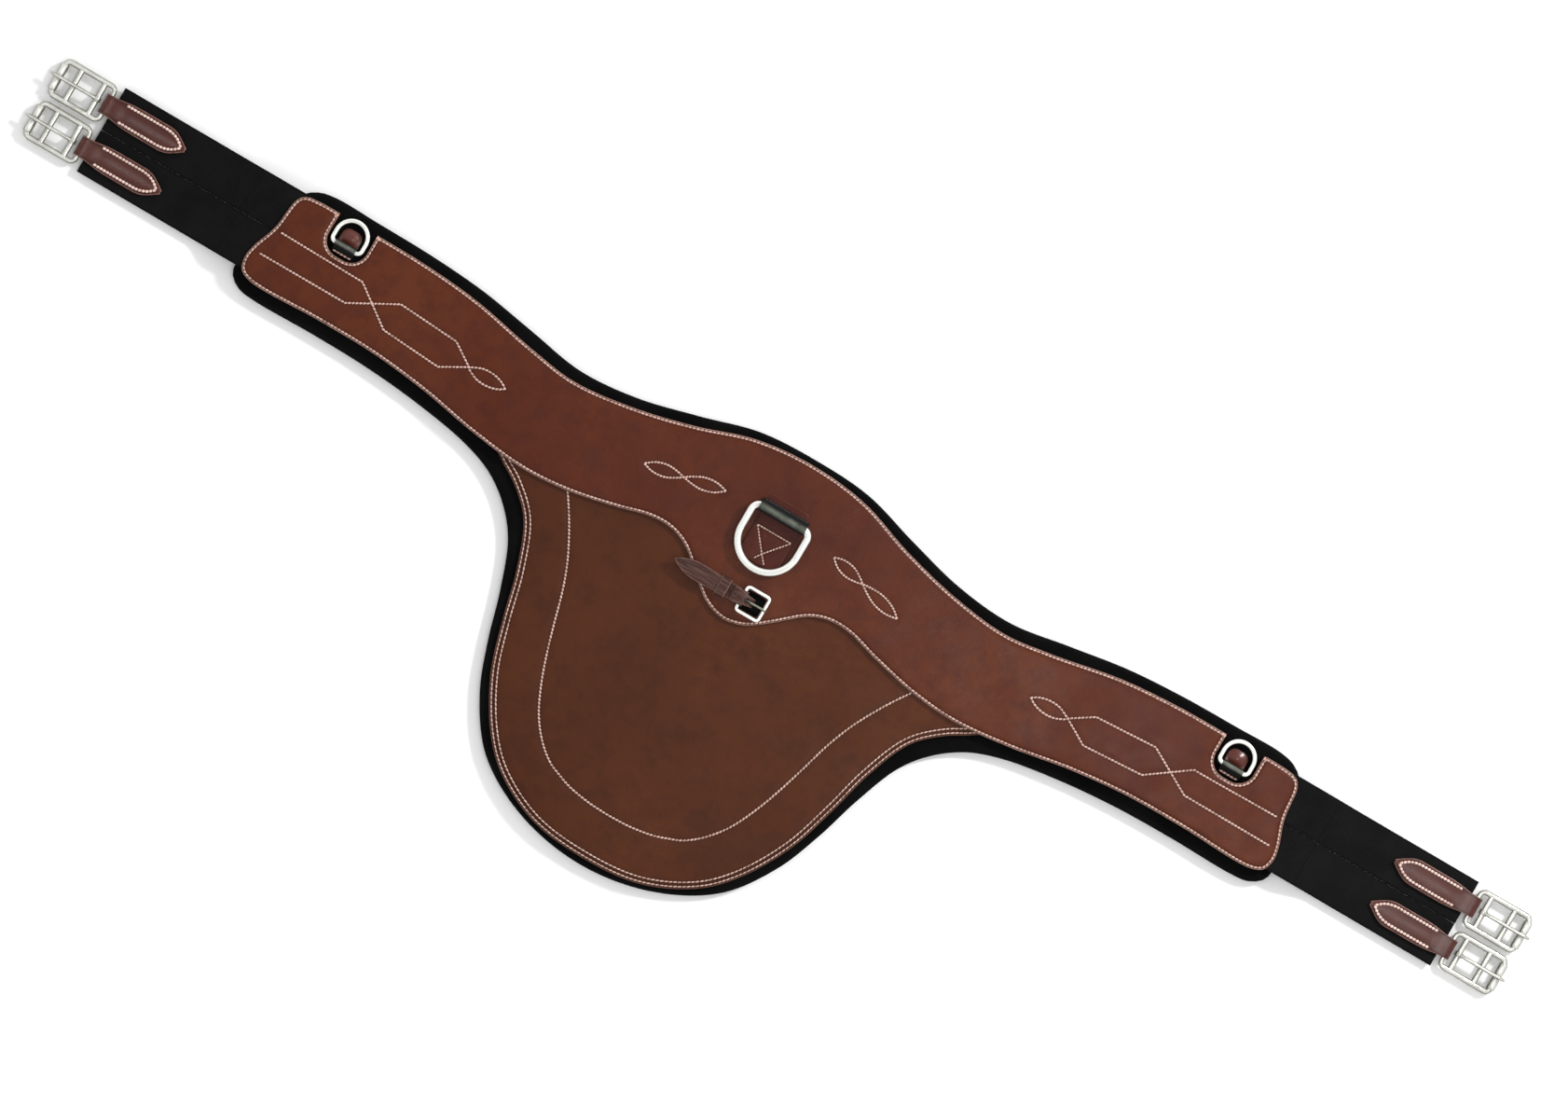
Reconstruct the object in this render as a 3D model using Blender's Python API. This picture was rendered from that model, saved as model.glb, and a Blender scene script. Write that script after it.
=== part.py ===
"""Saddle girth with a belly guard, laid flat with its leather side up.

Frame: X runs along the girth, +Y is its front edge, the belly guard hangs towards -Y and +Z is up.
The origin is on the lining's underside, in the middle of the girth. Lengths below are in millimetres.
"""

import math

import bmesh
import bpy
from mathutils import Matrix, Vector

MM = 0.001
GAP = 0.3
CURVE_STEP = 15.0

# Heights of the layers.
LINING_TOP = 8.0
LINING_SKIN = 1.8
LINING_ROUND = 2.5
LEATHER_LOW = LINING_TOP + GAP
GUARD_TOP = LEATHER_LOW + 2.8
WEB_TOP = LEATHER_LOW + 1.2
TAB_TOP = LEATHER_LOW + 2.0
ELASTIC_THICK = 2.0
TAIL_Z = WEB_TOP + GAP + ELASTIC_THICK / 2
STRIP_TOP = 14.8
ON_STRIP = STRIP_TOP + GAP
FOAM_WALL = 5.5

# Woven web between the two pairs of elastics.
WEB_FRONT = 0.0
WEB_REAR = -34.0
WEB_END_X = 462.0

# End straps, one pair at each end.
STRAP_MIDDLE_Y = -2.5
STRAP_PITCH = 39.0
ELASTIC_HALF = 18.6
TAIL_IN_X = 438.0
BEND_X = 488.0
BEND_END_X = 522.0
ELASTIC_OUT_X = 630.5

# Roller buckles, with distances along the buckle measured from the bar in the chape.
BAR_X = 636.5
BAR_Z = 4.1
BAR_RADIUS = 1.9
FRAME_LENGTH = 45.0
FRAME_HALF = 15.1
FRAME_CORNER = 4.0
TONGUE_BAR_AT = 9.5
CROSS_BAR_AT = 31.0
INNER_BAR_RADIUS = 1.6
ROLLER_IN = 2.25
ROLLER_OUT = 3.4
ROLLER_HALF = 11.8
TONGUE_RADIUS = 1.5
CHAPE_HALF = 10.8
CHAPE_LENGTH = 73.0
CHAPE_THICK = 1.7

# Rings: distances are to the middle of the wire.
SMALL_RING_X = 412.0
SMALL_RING_Y = 15.0
SMALL_WIRE = 1.8
SMALL_RING_HALF = 13.2
SMALL_RING_SIDE = 9.5
SMALL_RING_TILT = -3.0
SMALL_LOOP_OUT = 3.4
SMALL_LOOP_HALF = 9.5
NOTCH_HALF = 17.5
NOTCH_BOTTOM = 5.0
NOTCH_TOP = 36.0
BIG_RING_Y = 6.0
BIG_WIRE = 3.0
BIG_RING_HALF = 25.5
BIG_RING_SIDE = 22.0
BIG_RING_TILT = -4.5
BIG_LOOP_OUT = 4.9
BIG_LOOP_HALF = 19.0
PATCH_HALF = 18.0
PATCH_TOP = ON_STRIP + 1.6

# Little buckled strap on the lobe.
KEEP_Y = -66.0
KEEP_BAR_X = 4.0
KEEP_WIRE = 1.5
KEEP_LENGTH = 20.5
KEEP_HALF = 10.6
KEEP_THICK = 1.5
KEEP_TILT = 8.0
KEEP_STRAP_HALF = 6.4
KEEP_BAR_Z = ON_STRIP + 2 * KEEP_THICK + GAP + KEEP_WIRE
KEEPER_X = -13.5
KEEPER_HALF = 4.4
TAIL_TIP_X = -58.0

# Outlines, from the middle of the front edge round the right end to the middle of the rear edge.
LINING_HALF = [
    (0, 59), (50, 56), (100, 42), (150, 29.5), (200, 25.2), (250, 33), (300, 41), (350, 44.5),
    (400, 45.3), (440, 45.6), (454, 42.5), (464, 35), (470, 22), (479, -18), (483, -40),
    (480, -50), (470, -57), (455, -59), (400, -58.5), (350, -59.5), (300, -63.8), (250, -72.3),
    (222, -82.5), (199, -99.5), (182, -121), (166.5, -160), (154.5, -200), (138.5, -240),
    (109, -280), (60, -307), (0, -317),
]
STRIP_HALF = [
    (0, 54), (50, 49), (100, 32.8), (150, 20.8), (200, 15.2), (240, 20.2), (300, 31.5),
    (350, 35.6), (400, 36.2), (450, 36), (460, 34), (465, 28), (469, 0), (476, -20), (478, -32),
    (475, -42), (465, -47), (400, -46.3), (350, -47), (300, -52.2), (250, -61), (200, -66),
    (160, -63), (120, -54.5), (92, -47), (74, -46.8), (58, -52.5), (35, -71.5), (18, -84),
    (0, -88.7),
]
GUARD_HALF = [
    (0, -38), (60, -38), (110, -40), (160, -49), (208, -54), (222, -57), (226, -62), (219, -68),
    (200, -80), (179.5, -100), (163.5, -138), (153, -178), (139.5, -220), (116.5, -260),
    (92, -285), (50, -305.5), (0, -311),
]
GUARD_FOAM_HALF = [
    (0, -60), (110, -46), (175, -56), (192, -68), (180, -90), (164, -116), (152, -150),
    (142, -190), (125, -232), (104, -264), (70, -288), (36, -300), (0, -303.5),
]


def look(name, colour, roughness, metallic=0.0):
    made = bpy.data.materials.new(name)
    made.use_nodes = True
    shader = made.node_tree.nodes["Principled BSDF"]
    shader.inputs["Base Color"].default_value = (*colour, 1.0)
    shader.inputs["Roughness"].default_value = roughness
    shader.inputs["Metallic"].default_value = metallic
    made.diffuse_color = (*colour, 1.0)
    return made


def finish(bm, name, colour, pivot=(0, 0, 0), side=1, middle=0.0):
    """The working shape as an object with its origin on the pivot. Side -1 turns it to the left end."""
    bmesh.ops.recalc_face_normals(bm, faces=bm.faces)
    turn = Matrix.Rotation(0.0 if side > 0 else math.pi, 4, "Z")
    turn = Matrix.Translation((0, middle, 0)) @ turn
    there = turn @ Vector(pivot)
    bm.transform(Matrix.Scale(MM, 4) @ Matrix.Translation(-there) @ turn)
    mesh = bpy.data.meshes.new(name)
    bm.to_mesh(mesh)
    bm.free()
    obj = bpy.data.objects.new(name, mesh)
    obj.location = there * MM
    if colour is None:
        obj.hide_render = True
        obj.display_type = "WIRE"
        CUTTERS.objects.link(obj)
    else:
        mesh.materials.append(look(name, *colour))
        PARTS.objects.link(obj)
    return obj


def boolean(obj, other, operation="DIFFERENCE"):
    modifier = obj.modifiers.new(other.name, "BOOLEAN")
    modifier.operation = operation
    modifier.solver = "EXACT"
    modifier.object = other


def smooth_loop(half):
    """A smooth closed outline through the half outline's points and their mirror images."""
    points = [Vector(p) for p in half] + [Vector((-x, y)) for x, y in half[-2:0:-1]]
    loop = []
    for i, start in enumerate(points):
        before = points[i - 1]
        end = points[(i + 1) % len(points)]
        after = points[(i + 2) % len(points)]
        t1 = math.sqrt((start - before).length)
        t2 = t1 + math.sqrt((end - start).length)
        t3 = t2 + math.sqrt((after - end).length)
        steps = max(2, round((end - start).length / CURVE_STEP))
        for step in range(steps):
            t = t1 + (t2 - t1) * step / steps
            a1 = before.lerp(start, t / t1)
            a2 = start.lerp(end, (t - t1) / (t2 - t1))
            a3 = end.lerp(after, (t - t2) / (t3 - t2))
            b1 = a1.lerp(a2, t / t2)
            b2 = a2.lerp(a3, (t - t1) / (t3 - t1))
            loop.append(b1.lerp(b2, (t - t1) / (t2 - t1)))
    return loop


def moved_in(loop, distance):
    """The outline with each point moved inwards by the distance, or outwards if it is negative."""
    area = sum(a.x * b.y - b.x * a.y for a, b in zip(loop, loop[1:] + loop[:1]))
    turn = 1 if area > 0 else -1
    made = []
    for i, point in enumerate(loop):
        before = (point - loop[i - 1]).normalized()
        after = (loop[(i + 1) % len(loop)] - point).normalized()
        inward = Vector((-(before + after).y, (before + after).x)).normalized() * turn
        share = max(0.6, Vector((-before.y, before.x)).dot(inward) * turn)
        made.append(point + inward * distance / share)
    return made


def stack(bm, levels):
    """A solid from outlines of equal length, each at its height."""
    rings = [[bm.verts.new((p.x, p.y, z)) for p in loop] for loop, z in levels]
    for low, high in zip(rings, rings[1:]):
        for i in range(len(low)):
            bm.faces.new((low[i - 1], low[i], high[i], high[i - 1]))
    bm.faces.new(rings[0])
    bm.faces.new(rings[-1])


def prism(name, loop, low, high, colour=None, edge=0.0, **where):
    bm = bmesh.new()
    levels = [(loop, low), (loop, high)]
    if edge:
        levels = [(loop, low), (loop, high - edge), (moved_in(loop, edge), high)]
    stack(bm, levels)
    return finish(bm, name, colour, **where)


def box(bm, low, high):
    corners = [Vector((x, y)) for x, y in (
        (low[0], low[1]), (high[0], low[1]), (high[0], high[1]), (low[0], high[1]),
    )]
    stack(bm, [(corners, low[2]), (corners, high[2])])


def block(name, low, high, **where):
    bm = bmesh.new()
    box(bm, low, high)
    return finish(bm, name, None, **where)


def rounded(half, bottom, top, corner):
    """A U-shaped outline about x = 0, with round corners at its bottom end."""
    right = [(half, top)]
    right += [
        (half - corner + corner * math.cos(a), bottom + corner - corner * math.sin(a))
        for a in (math.radians(d) for d in range(0, 91, 15))
    ]
    return [Vector(p) for p in right] + [Vector((-x, y)) for x, y in reversed(right)]


def rod(bm, path, radius, closed=False, sides=10, up=(0, 0, 1)):
    """A round rod along a path that lies in the plane square to up."""
    up = Vector(up)
    path = [Vector(p) for p in path]
    radii = radius if isinstance(radius, list) else [radius] * len(path)
    rings = []
    for i, point in enumerate(path):
        after = path[(i + 1) % len(path)] - point if closed or i + 1 < len(path) else None
        before = point - path[i - 1] if closed or i > 0 else None
        after = (after or before).normalized()
        before = (before or after).normalized()
        across = (before + after).cross(up).normalized()
        widen = 1.0 / max(0.5, abs(across.dot(before.cross(up).normalized())))
        rings.append([
            bm.verts.new(
                point
                + across * math.cos(math.tau * k / sides) * radii[i] * widen
                + up * math.sin(math.tau * k / sides) * radii[i]
            )
            for k in range(sides)
        ])
    pairs = list(zip(rings, rings[1:]))
    if closed:
        pairs.append((rings[-1], rings[0]))
    for low, high in pairs:
        for k in range(sides):
            bm.faces.new((low[k - 1], low[k], high[k], high[k - 1]))
    if not closed:
        bm.faces.new(rings[0])
        bm.faces.new(rings[-1])


def turned(bm, centre, axis, profile, sides):
    """A ring turned about an axis: the profile is a closed run of (distance along the axis, radius)."""
    axis = Vector(axis)
    one = Vector((0, 0, 1))
    two = axis.cross(one)
    rings = []
    for along, radius in profile:
        rings.append([
            bm.verts.new(
                Vector(centre)
                + axis * along
                + (one * math.cos(math.tau * k / sides) + two * math.sin(math.tau * k / sides)) * radius
            )
            for k in range(sides)
        ])
    for i in range(len(rings)):
        for k in range(sides):
            low, high = rings[i - 1], rings[i]
            bm.faces.new((low[k - 1], low[k], high[k], high[k - 1]))


def band(bm, path, thick, halves):
    """A strap that follows (x, z) points, with its half width at each of them."""
    path = [Vector(p) for p in path]
    rings = []
    for i, point in enumerate(path):
        before = (point - path[i - 1]).normalized() if i else None
        after = (path[i + 1] - point).normalized() if i + 1 < len(path) else before
        before = before or after
        across = Vector((-(before + after).y, (before + after).x)).normalized()
        across *= thick / 2 / max(0.5, across.dot(Vector((-before.y, before.x))))
        high, low, half = point + across, point - across, halves[i]
        rings.append([
            bm.verts.new((p.x, y, p.y)) for p, y in (
                (high, half), (high, -half), (low, -half), (low, half),
            )
        ])
    for one, two in zip(rings, rings[1:]):
        for k in range(4):
            bm.faces.new((one[k - 1], one[k], two[k], two[k - 1]))
    bm.faces.new(rings[0])
    bm.faces.new(rings[-1])


def lean(bm, pivot, degrees):
    """Tips the working shape about a Y line through the pivot, its +X side down."""
    there = Matrix.Translation(Vector(pivot))
    bm.transform(there @ Matrix.Rotation(math.radians(degrees), 4, "Y") @ there.inverted())


def arc(centre, radius, start, end, steps):
    """Points on an arc, in degrees from the first axis."""
    angles = [math.radians(start + (end - start) * k / steps) for k in range(steps + 1)]
    return [(centre[0] + radius * math.cos(a), centre[1] + radius * math.sin(a)) for a in angles]


def lining_and_foam():
    outline = smooth_loop(LINING_HALF)
    bm = bmesh.new()
    stack(bm, [
        (moved_in(outline, LINING_ROUND), 0.0),
        (outline, LINING_ROUND),
        (outline, LINING_TOP - LINING_ROUND),
        (moved_in(outline, LINING_ROUND), LINING_TOP),
    ])
    lining = finish(bm, "lining", BLACK)
    strip = smooth_loop(STRIP_HALF)
    guard = smooth_loop(GUARD_FOAM_HALF)
    wide = moved_in(strip, FOAM_WALL - GAP)
    boolean(lining, prism("girth_pocket", wide, LINING_SKIN, LINING_TOP + 2))
    wide = moved_in(guard, -GAP)
    boolean(lining, prism("guard_pocket", wide, LINING_SKIN, LINING_TOP + 2.5))
    low, high = LINING_SKIN + GAP, LINING_TOP - GAP
    foam = prism("foam_pad", moved_in(strip, FOAM_WALL), low, high, FOAM)
    boolean(foam, prism("guard_foam", guard, low - 0.001, high + 0.001), "UNION")


def web():
    mouth = TAIL_IN_X + 1.0
    front = STRAP_MIDDLE_Y + 34.0
    rear = STRAP_MIDDLE_Y - 36.0
    half = [
        (0, WEB_FRONT), (mouth, WEB_FRONT), (mouth, front), (WEB_END_X, front),
        (WEB_END_X, rear), (mouth, rear), (mouth, WEB_REAR), (0, WEB_REAR),
    ]
    loop = [Vector(p) for p in half] + [Vector((-x, y)) for x, y in half[-2:0:-1]]
    prism("load_web", loop, LEATHER_LOW, WEB_TOP, WEBBING)


def girth_leather():
    outline = smooth_loop(STRIP_HALF)
    bm = bmesh.new()
    stack(bm, [
        (moved_in(outline, 0.6), LEATHER_LOW),
        (outline, LEATHER_LOW + 0.8),
        (outline, STRIP_TOP - 1.4),
        (moved_in(outline, 0.5), STRIP_TOP - 0.5),
        (moved_in(outline, 1.5), STRIP_TOP),
    ])
    leather = finish(bm, "girth_leather", STRIP_LEATHER)
    guard = moved_in(smooth_loop(GUARD_HALF), -GAP)
    boolean(leather, prism("guard_recess", guard, 6.0, GUARD_TOP + GAP))
    end = TAIL_IN_X + 1.0
    channel = block("web_channel", (-end, WEB_REAR - GAP, 5), (end, WEB_FRONT + GAP, WEB_TOP + GAP))
    boolean(leather, channel)
    reach = STRAP_PITCH / 2 + ELASTIC_HALF + 0.4
    for side, tag in ((-1, "left"), (1, "right")):
        xs = sorted((side * (TAIL_IN_X - 0.4), side * 520))
        low = (xs[0], STRAP_MIDDLE_Y - reach, 5.5)
        high = (xs[1], 60, TAIL_Z + ELASTIC_THICK / 2 + GAP)
        boolean(leather, block(tag + "_mouth", low, high))
        loop = rounded(NOTCH_HALF, NOTCH_BOTTOM, 60, 14.0)
        loop = [p + Vector((side * SMALL_RING_X, 0)) for p in loop]
        boolean(leather, prism(tag + "_notch", loop, 4.5, 20))
    low = (12.6, KEEP_Y - KEEP_STRAP_HALF - 0.4, GUARD_TOP)
    boolean(leather, block("billet_slot", low, (15.6, KEEP_Y + KEEP_STRAP_HALF + 0.4, 20)))


def guard_leather():
    outline = smooth_loop(GUARD_HALF)
    prism("belly_guard_leather", outline, LEATHER_LOW, GUARD_TOP, GUARD_LEATHER, edge=0.7)


def end_strap(tag, side, middle):
    """One elastic with its chape and roller buckle, modelled for the right end about y = 0."""
    where = {"side": side, "middle": middle}
    bm = bmesh.new()
    tail = [(TAIL_IN_X, TAIL_Z), (BEND_X, TAIL_Z)]
    band(bm, tail, ELASTIC_THICK, [ELASTIC_HALF] * 2)
    finish(bm, tag + "_elastic_tail", ELASTIC, **where)

    bm = bmesh.new()
    drop = TAIL_Z - BAR_Z
    path = [(BEND_X + GAP, TAIL_Z)]
    for k in range(1, 8):
        share = k / 7
        fall = share * share * (3 - 2 * share)
        path.append((BEND_X + 2 + (BEND_END_X - BEND_X - 2) * share, TAIL_Z - drop * fall))
    path += [(552.0, BAR_Z), (600.0, BAR_Z), (ELASTIC_OUT_X, BAR_Z)]
    band(bm, path, ELASTIC_THICK, [ELASTIC_HALF] * len(path))
    finish(bm, tag + "_elastic", ELASTIC, (BEND_X, 0, TAIL_Z), **where)

    bm = bmesh.new()
    near = ELASTIC_THICK / 2 + GAP + CHAPE_THICK / 2
    far = BAR_RADIUS + GAP + CHAPE_THICK / 2
    tip = BAR_X - CHAPE_LENGTH
    taper = [(tip, 1.2), (tip + 4, 4.3), (tip + 9, 7.7), (tip + 14, 9.9), (tip + 19, CHAPE_HALF)]
    taper += [(BAR_X - 10, CHAPE_HALF), (BAR_X - 3.5, CHAPE_HALF)]
    heights = [near] * 6 + [far - 0.25]
    path = [(x, BAR_Z - h) for (x, _), h in zip(taper, heights)]
    halves = [half for _, half in taper]
    bow = arc((BAR_X, BAR_Z), far, -90, 90, 10)
    path += bow + [(x, BAR_Z + h) for (x, _), h in reversed(list(zip(taper, heights)))]
    band(bm, path, CHAPE_THICK, halves + [CHAPE_HALF] * len(bow) + halves[::-1])
    finish(bm, tag + "_chape", CHAPE, (BAR_X, 0, BAR_Z), **where)

    roller_buckle(tag, where)


def roller_buckle(tag, where):
    end = BAR_X + FRAME_LENGTH
    near, inside = BAR_X + FRAME_CORNER, FRAME_HALF - FRAME_CORNER
    path = arc((end - FRAME_CORNER, inside), FRAME_CORNER, 90, 0, 4)
    path += arc((end - FRAME_CORNER, -inside), FRAME_CORNER, 0, -90, 4)
    path += arc((near, -inside), FRAME_CORNER, -90, -180, 4)
    path += arc((near, inside), FRAME_CORNER, 180, 90, 4)
    bm = bmesh.new()
    rod(bm, [(x, y, BAR_Z) for x, y in path], BAR_RADIUS, closed=True, sides=12)
    frame = finish(bm, tag + "_buckle_frame", STEEL, (BAR_X, 0, BAR_Z), **where)
    for kind, at in (("_tongue_bar", TONGUE_BAR_AT), ("_cross_bar", CROSS_BAR_AT)):
        bm = bmesh.new()
        ends = [(BAR_X + at, y, BAR_Z) for y in (-FRAME_HALF - 0.6, FRAME_HALF + 0.6)]
        rod(bm, ends, INNER_BAR_RADIUS, sides=10)
        boolean(frame, finish(bm, tag + kind, None, **where), "UNION")

    bm = bmesh.new()
    profile = [
        (-ROLLER_HALF, ROLLER_IN), (-ROLLER_HALF, 3.1), (-ROLLER_HALF + 0.5, ROLLER_OUT),
        (-1.8, ROLLER_OUT), (0, 2.9), (1.8, ROLLER_OUT),
        (ROLLER_HALF - 0.5, ROLLER_OUT), (ROLLER_HALF, 3.1), (ROLLER_HALF, ROLLER_IN),
    ]
    turned(bm, (end, 0, BAR_Z), (0, 1, 0), profile, 16)
    finish(bm, tag + "_roller", STEEL, (end, 0, BAR_Z), **where)

    pin = BAR_X + TONGUE_BAR_AT
    eye_in = INNER_BAR_RADIUS + GAP
    eye_out = eye_in + 1.4
    bm = bmesh.new()
    profile = [(-2.0, eye_in), (-2.0, eye_out), (2.0, eye_out), (2.0, eye_in)]
    turned(bm, (pin, 0, BAR_Z), (0, 1, 0), profile, 14)
    tongue = finish(bm, tag + "_buckle_tongue", STEEL, (pin, 0, BAR_Z), **where)
    over = BAR_Z + ROLLER_OUT + GAP + TONGUE_RADIUS
    path = [
        (pin + 1.0, 0, BAR_Z + eye_in + 1.1), (pin + 7, 0, BAR_Z + 4.2),
        (BAR_X + CROSS_BAR_AT, 0, over - 0.9), (end - 3, 0, over), (end + 1, 0, over),
        (end + 4.5, 0, over - 0.7), (end + 6.3, 0, over - 1.4),
    ]
    bm = bmesh.new()
    rod(bm, path, [1.1, 1.5, 1.5, 1.5, 1.45, 1.2, 0.6], sides=8, up=(0, 1, 0))
    boolean(tongue, finish(bm, tag + "_tongue_shaft", None, **where), "UNION")


def ring(name, x, y, z, half, side_length, wire, tilt, towards):
    """A D-ring on its straight bar, which is its pivot. Towards is +1 or -1, the way its bow points in Y."""
    corner = wire * 2.2
    path = arc((half - corner, corner), corner, -90, 0, 4)
    path += [(px, py) for px, py in arc((0, side_length), half, 0, 180, 16)]
    path += arc((-half + corner, corner), corner, 180, 270, 4)
    bm = bmesh.new()
    rod(bm, [(px, py, 0) for px, py in path], wire, closed=True, sides=12)
    lean = Matrix.Rotation(math.radians(tilt), 4, "X")
    spin = Matrix.Rotation(0.0 if towards > 0 else math.pi, 4, "Z")
    bm.transform(Matrix.Translation((x, y, z)) @ spin @ lean)
    finish(bm, name, STEEL, (x, y, z))


def ring_loop(name, x, y, z, inner, outer, half, towards, foot):
    """The wrap round a ring's bar, with its foot stitched down on the side away from the bow."""
    bm = bmesh.new()
    profile = [(-half, inner), (-half, outer), (half, outer), (half, inner)]
    turned(bm, (x, y, z), (1, 0, 0), profile, 20)
    loop = finish(bm, name, WRAP, (x, y, z))
    bm = bmesh.new()
    ys = sorted((y, y - towards * foot))
    low = (x - half + 0.05, ys[0], z - outer + 0.02)
    box(bm, low, (x + half - 0.05, ys[1], z - inner - 0.25))
    boolean(loop, finish(bm, name + "_foot", None), "UNION")


def side_ring(tag, side):
    x = side * SMALL_RING_X
    z = TAB_TOP + GAP + SMALL_LOOP_OUT
    loop = rounded(NOTCH_HALF - GAP, NOTCH_BOTTOM + GAP, NOTCH_TOP - 0.6, 14.0 - GAP)
    loop = [p + Vector((x, 0)) for p in loop]
    prism(tag + "_ring_tab", loop, LEATHER_LOW, TAB_TOP, TAB, edge=0.4)
    ring_loop(
        tag + "_ring_loop", x, SMALL_RING_Y, z, SMALL_WIRE + GAP, SMALL_LOOP_OUT,
        SMALL_LOOP_HALF, 1, 6.5,
    )
    ring(
        tag + "_ring", x, SMALL_RING_Y, z, SMALL_RING_HALF, SMALL_RING_SIDE, SMALL_WIRE,
        SMALL_RING_TILT, 1,
    )


def centre_ring():
    z = PATCH_TOP + GAP + BIG_LOOP_OUT
    shape = [
        (PATCH_HALF - 3, 18), (PATCH_HALF, 15), (PATCH_HALF, -22), (PATCH_HALF - 6, -33),
        (7, -37), (-7, -37), (6 - PATCH_HALF, -33), (-PATCH_HALF, -22), (-PATCH_HALF, 15),
        (3 - PATCH_HALF, 18),
    ]
    prism("centre_ring_patch", [Vector(p) for p in shape], ON_STRIP, PATCH_TOP, CHAPE, edge=0.4)
    ring_loop(
        "centre_ring_loop", 0, BIG_RING_Y, z, BIG_WIRE + GAP, BIG_LOOP_OUT, BIG_LOOP_HALF, -1, 8.5
    )
    ring(
        "centre_ring", 0, BIG_RING_Y, z, BIG_RING_HALF, BIG_RING_SIDE, BIG_WIRE,
        BIG_RING_TILT, -1,
    )


def lobe_strap():
    where = {"middle": KEEP_Y}
    bar = (KEEP_BAR_X, KEEP_BAR_Z)
    low = ON_STRIP + KEEP_THICK / 2
    around = KEEP_WIRE + GAP + KEEP_THICK / 2
    half = KEEP_STRAP_HALF
    bm = bmesh.new()
    path = [(-40.0, low), (-5.0, low), (0.5, low)]
    path += arc(bar, around, -100, 120, 10)
    band(bm, path, KEEP_THICK, [half] * len(path))
    chape = finish(bm, "lobe_chape", CHAPE, (bar[0], 0, bar[1]), **where)
    slot = block("lobe_tongue_slot", (0.2, -2.1, 14), (9, 2.1, 30), **where)
    boolean(chape, slot)

    bm = bmesh.new()
    over = KEEP_BAR_Z + around + KEEP_THICK + GAP
    under = ON_STRIP + KEEP_THICK + GAP + KEEP_THICK / 2
    path = [(14.1, GUARD_TOP + 1.0), (14.1, ON_STRIP - 0.6), (13.3, ON_STRIP + 2.6)]
    path += [(10.6, over - 1.6), (7.6, over - 0.2), (4.0, over), (0.0, over - 0.3)]
    path += [(-3.6, over - 2.0), (-6.6, under + 0.5), (-9.5, under), (-50.0, under)]
    path += [(-54.5, under), (TAIL_TIP_X, under)]
    halves = [half] * (len(path) - 2) + [5.4, 2.6]
    band(bm, path, KEEP_THICK, halves)
    billet = finish(bm, "lobe_billet", CHAPE, **where)
    boolean(billet, block("billet_hole", (6.3, -1.7, 16), (13.1, 1.7, 30), **where))

    bm = bmesh.new()
    bottom = ON_STRIP
    top = under + KEEP_THICK / 2 + GAP
    box(bm, (KEEPER_X - KEEPER_HALF, -half - 2.0, bottom), (KEEPER_X + KEEPER_HALF, half + 2.0, top + 1.2))
    keeper = finish(bm, "lobe_keeper", CHAPE, (KEEPER_X, 0, bottom), **where)
    low = (KEEPER_X - 9, -half - 0.6, bottom - 0.001)
    boolean(keeper, block("keeper_room", low, (KEEPER_X + 9, half + 0.6, top), **where))

    inside = KEEP_HALF - 2.5
    near, far = bar[0] + 2.5, bar[0] + KEEP_LENGTH - 2.5
    path = arc((far, inside), 2.5, 90, 0, 3) + arc((far, -inside), 2.5, 0, -90, 3)
    path += arc((near, -inside), 2.5, -90, -180, 3) + arc((near, inside), 2.5, 180, 90, 3)
    bm = bmesh.new()
    rod(bm, [(x, y, bar[1]) for x, y in path], KEEP_WIRE, closed=True, sides=10)
    pivot = (bar[0], 0, bar[1])
    lean(bm, pivot, KEEP_TILT)
    finish(bm, "lobe_buckle_frame", STEEL, pivot, **where)

    bm = bmesh.new()
    eye = KEEP_WIRE + GAP
    profile = [(-1.4, eye), (-1.4, eye + 1.3), (1.4, eye + 1.3), (1.4, eye)]
    turned(bm, pivot, (0, 1, 0), profile, 14)
    tongue = finish(bm, "lobe_buckle_tongue", STEEL, pivot, **where)
    rest = bar[1] + KEEP_WIRE + GAP + 1.0
    path = [(bar[0] + 2.0, 0, bar[1] + 1.6), (bar[0] + 6, 0, rest - 0.2)]
    path += [(bar[0] + KEEP_LENGTH, 0, rest), (bar[0] + KEEP_LENGTH + 1.8, 0, rest - 0.4)]
    bm = bmesh.new()
    rod(bm, path, [1.0, 1.0, 1.0, 0.5], sides=8, up=(0, 1, 0))
    lean(bm, pivot, KEEP_TILT)
    boolean(tongue, finish(bm, "lobe_tongue_shaft", None, **where), "UNION")


for leftover in list(bpy.data.objects):
    bpy.data.objects.remove(leftover)

PARTS = bpy.data.collections.new("Saddle girth")
CUTTERS = bpy.data.collections.new("Cutters")
CUTTERS.hide_render = True
bpy.context.scene.collection.children.link(PARTS)
bpy.context.scene.collection.children.link(CUTTERS)

BLACK = ((0.012, 0.012, 0.013), 0.75)
FOAM = ((0.10, 0.10, 0.10), 0.9)
WEBBING = ((0.03, 0.03, 0.032), 0.8)
ELASTIC = ((0.022, 0.022, 0.024), 0.7)
WRAP = ((0.02, 0.024, 0.022), 0.7)
STRIP_LEATHER = ((0.115, 0.032, 0.018), 0.45)
GUARD_LEATHER = ((0.085, 0.026, 0.013), 0.45)
CHAPE = ((0.10, 0.028, 0.016), 0.45)
TAB = ((0.09, 0.026, 0.015), 0.5)
STEEL = ((0.72, 0.72, 0.71), 0.22, 1.0)

lining_and_foam()
web()
girth_leather()
guard_leather()
for end_name, end_side in (("left", -1), ("right", 1)):
    for row_name, row_side in (("front", 1), ("rear", -1)):
        middle_y = STRAP_MIDDLE_Y + row_side * STRAP_PITCH / 2
        end_strap(end_name + "_" + row_name, end_side, middle_y)
    side_ring(end_name, end_side)
centre_ring()
lobe_strap()
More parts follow.
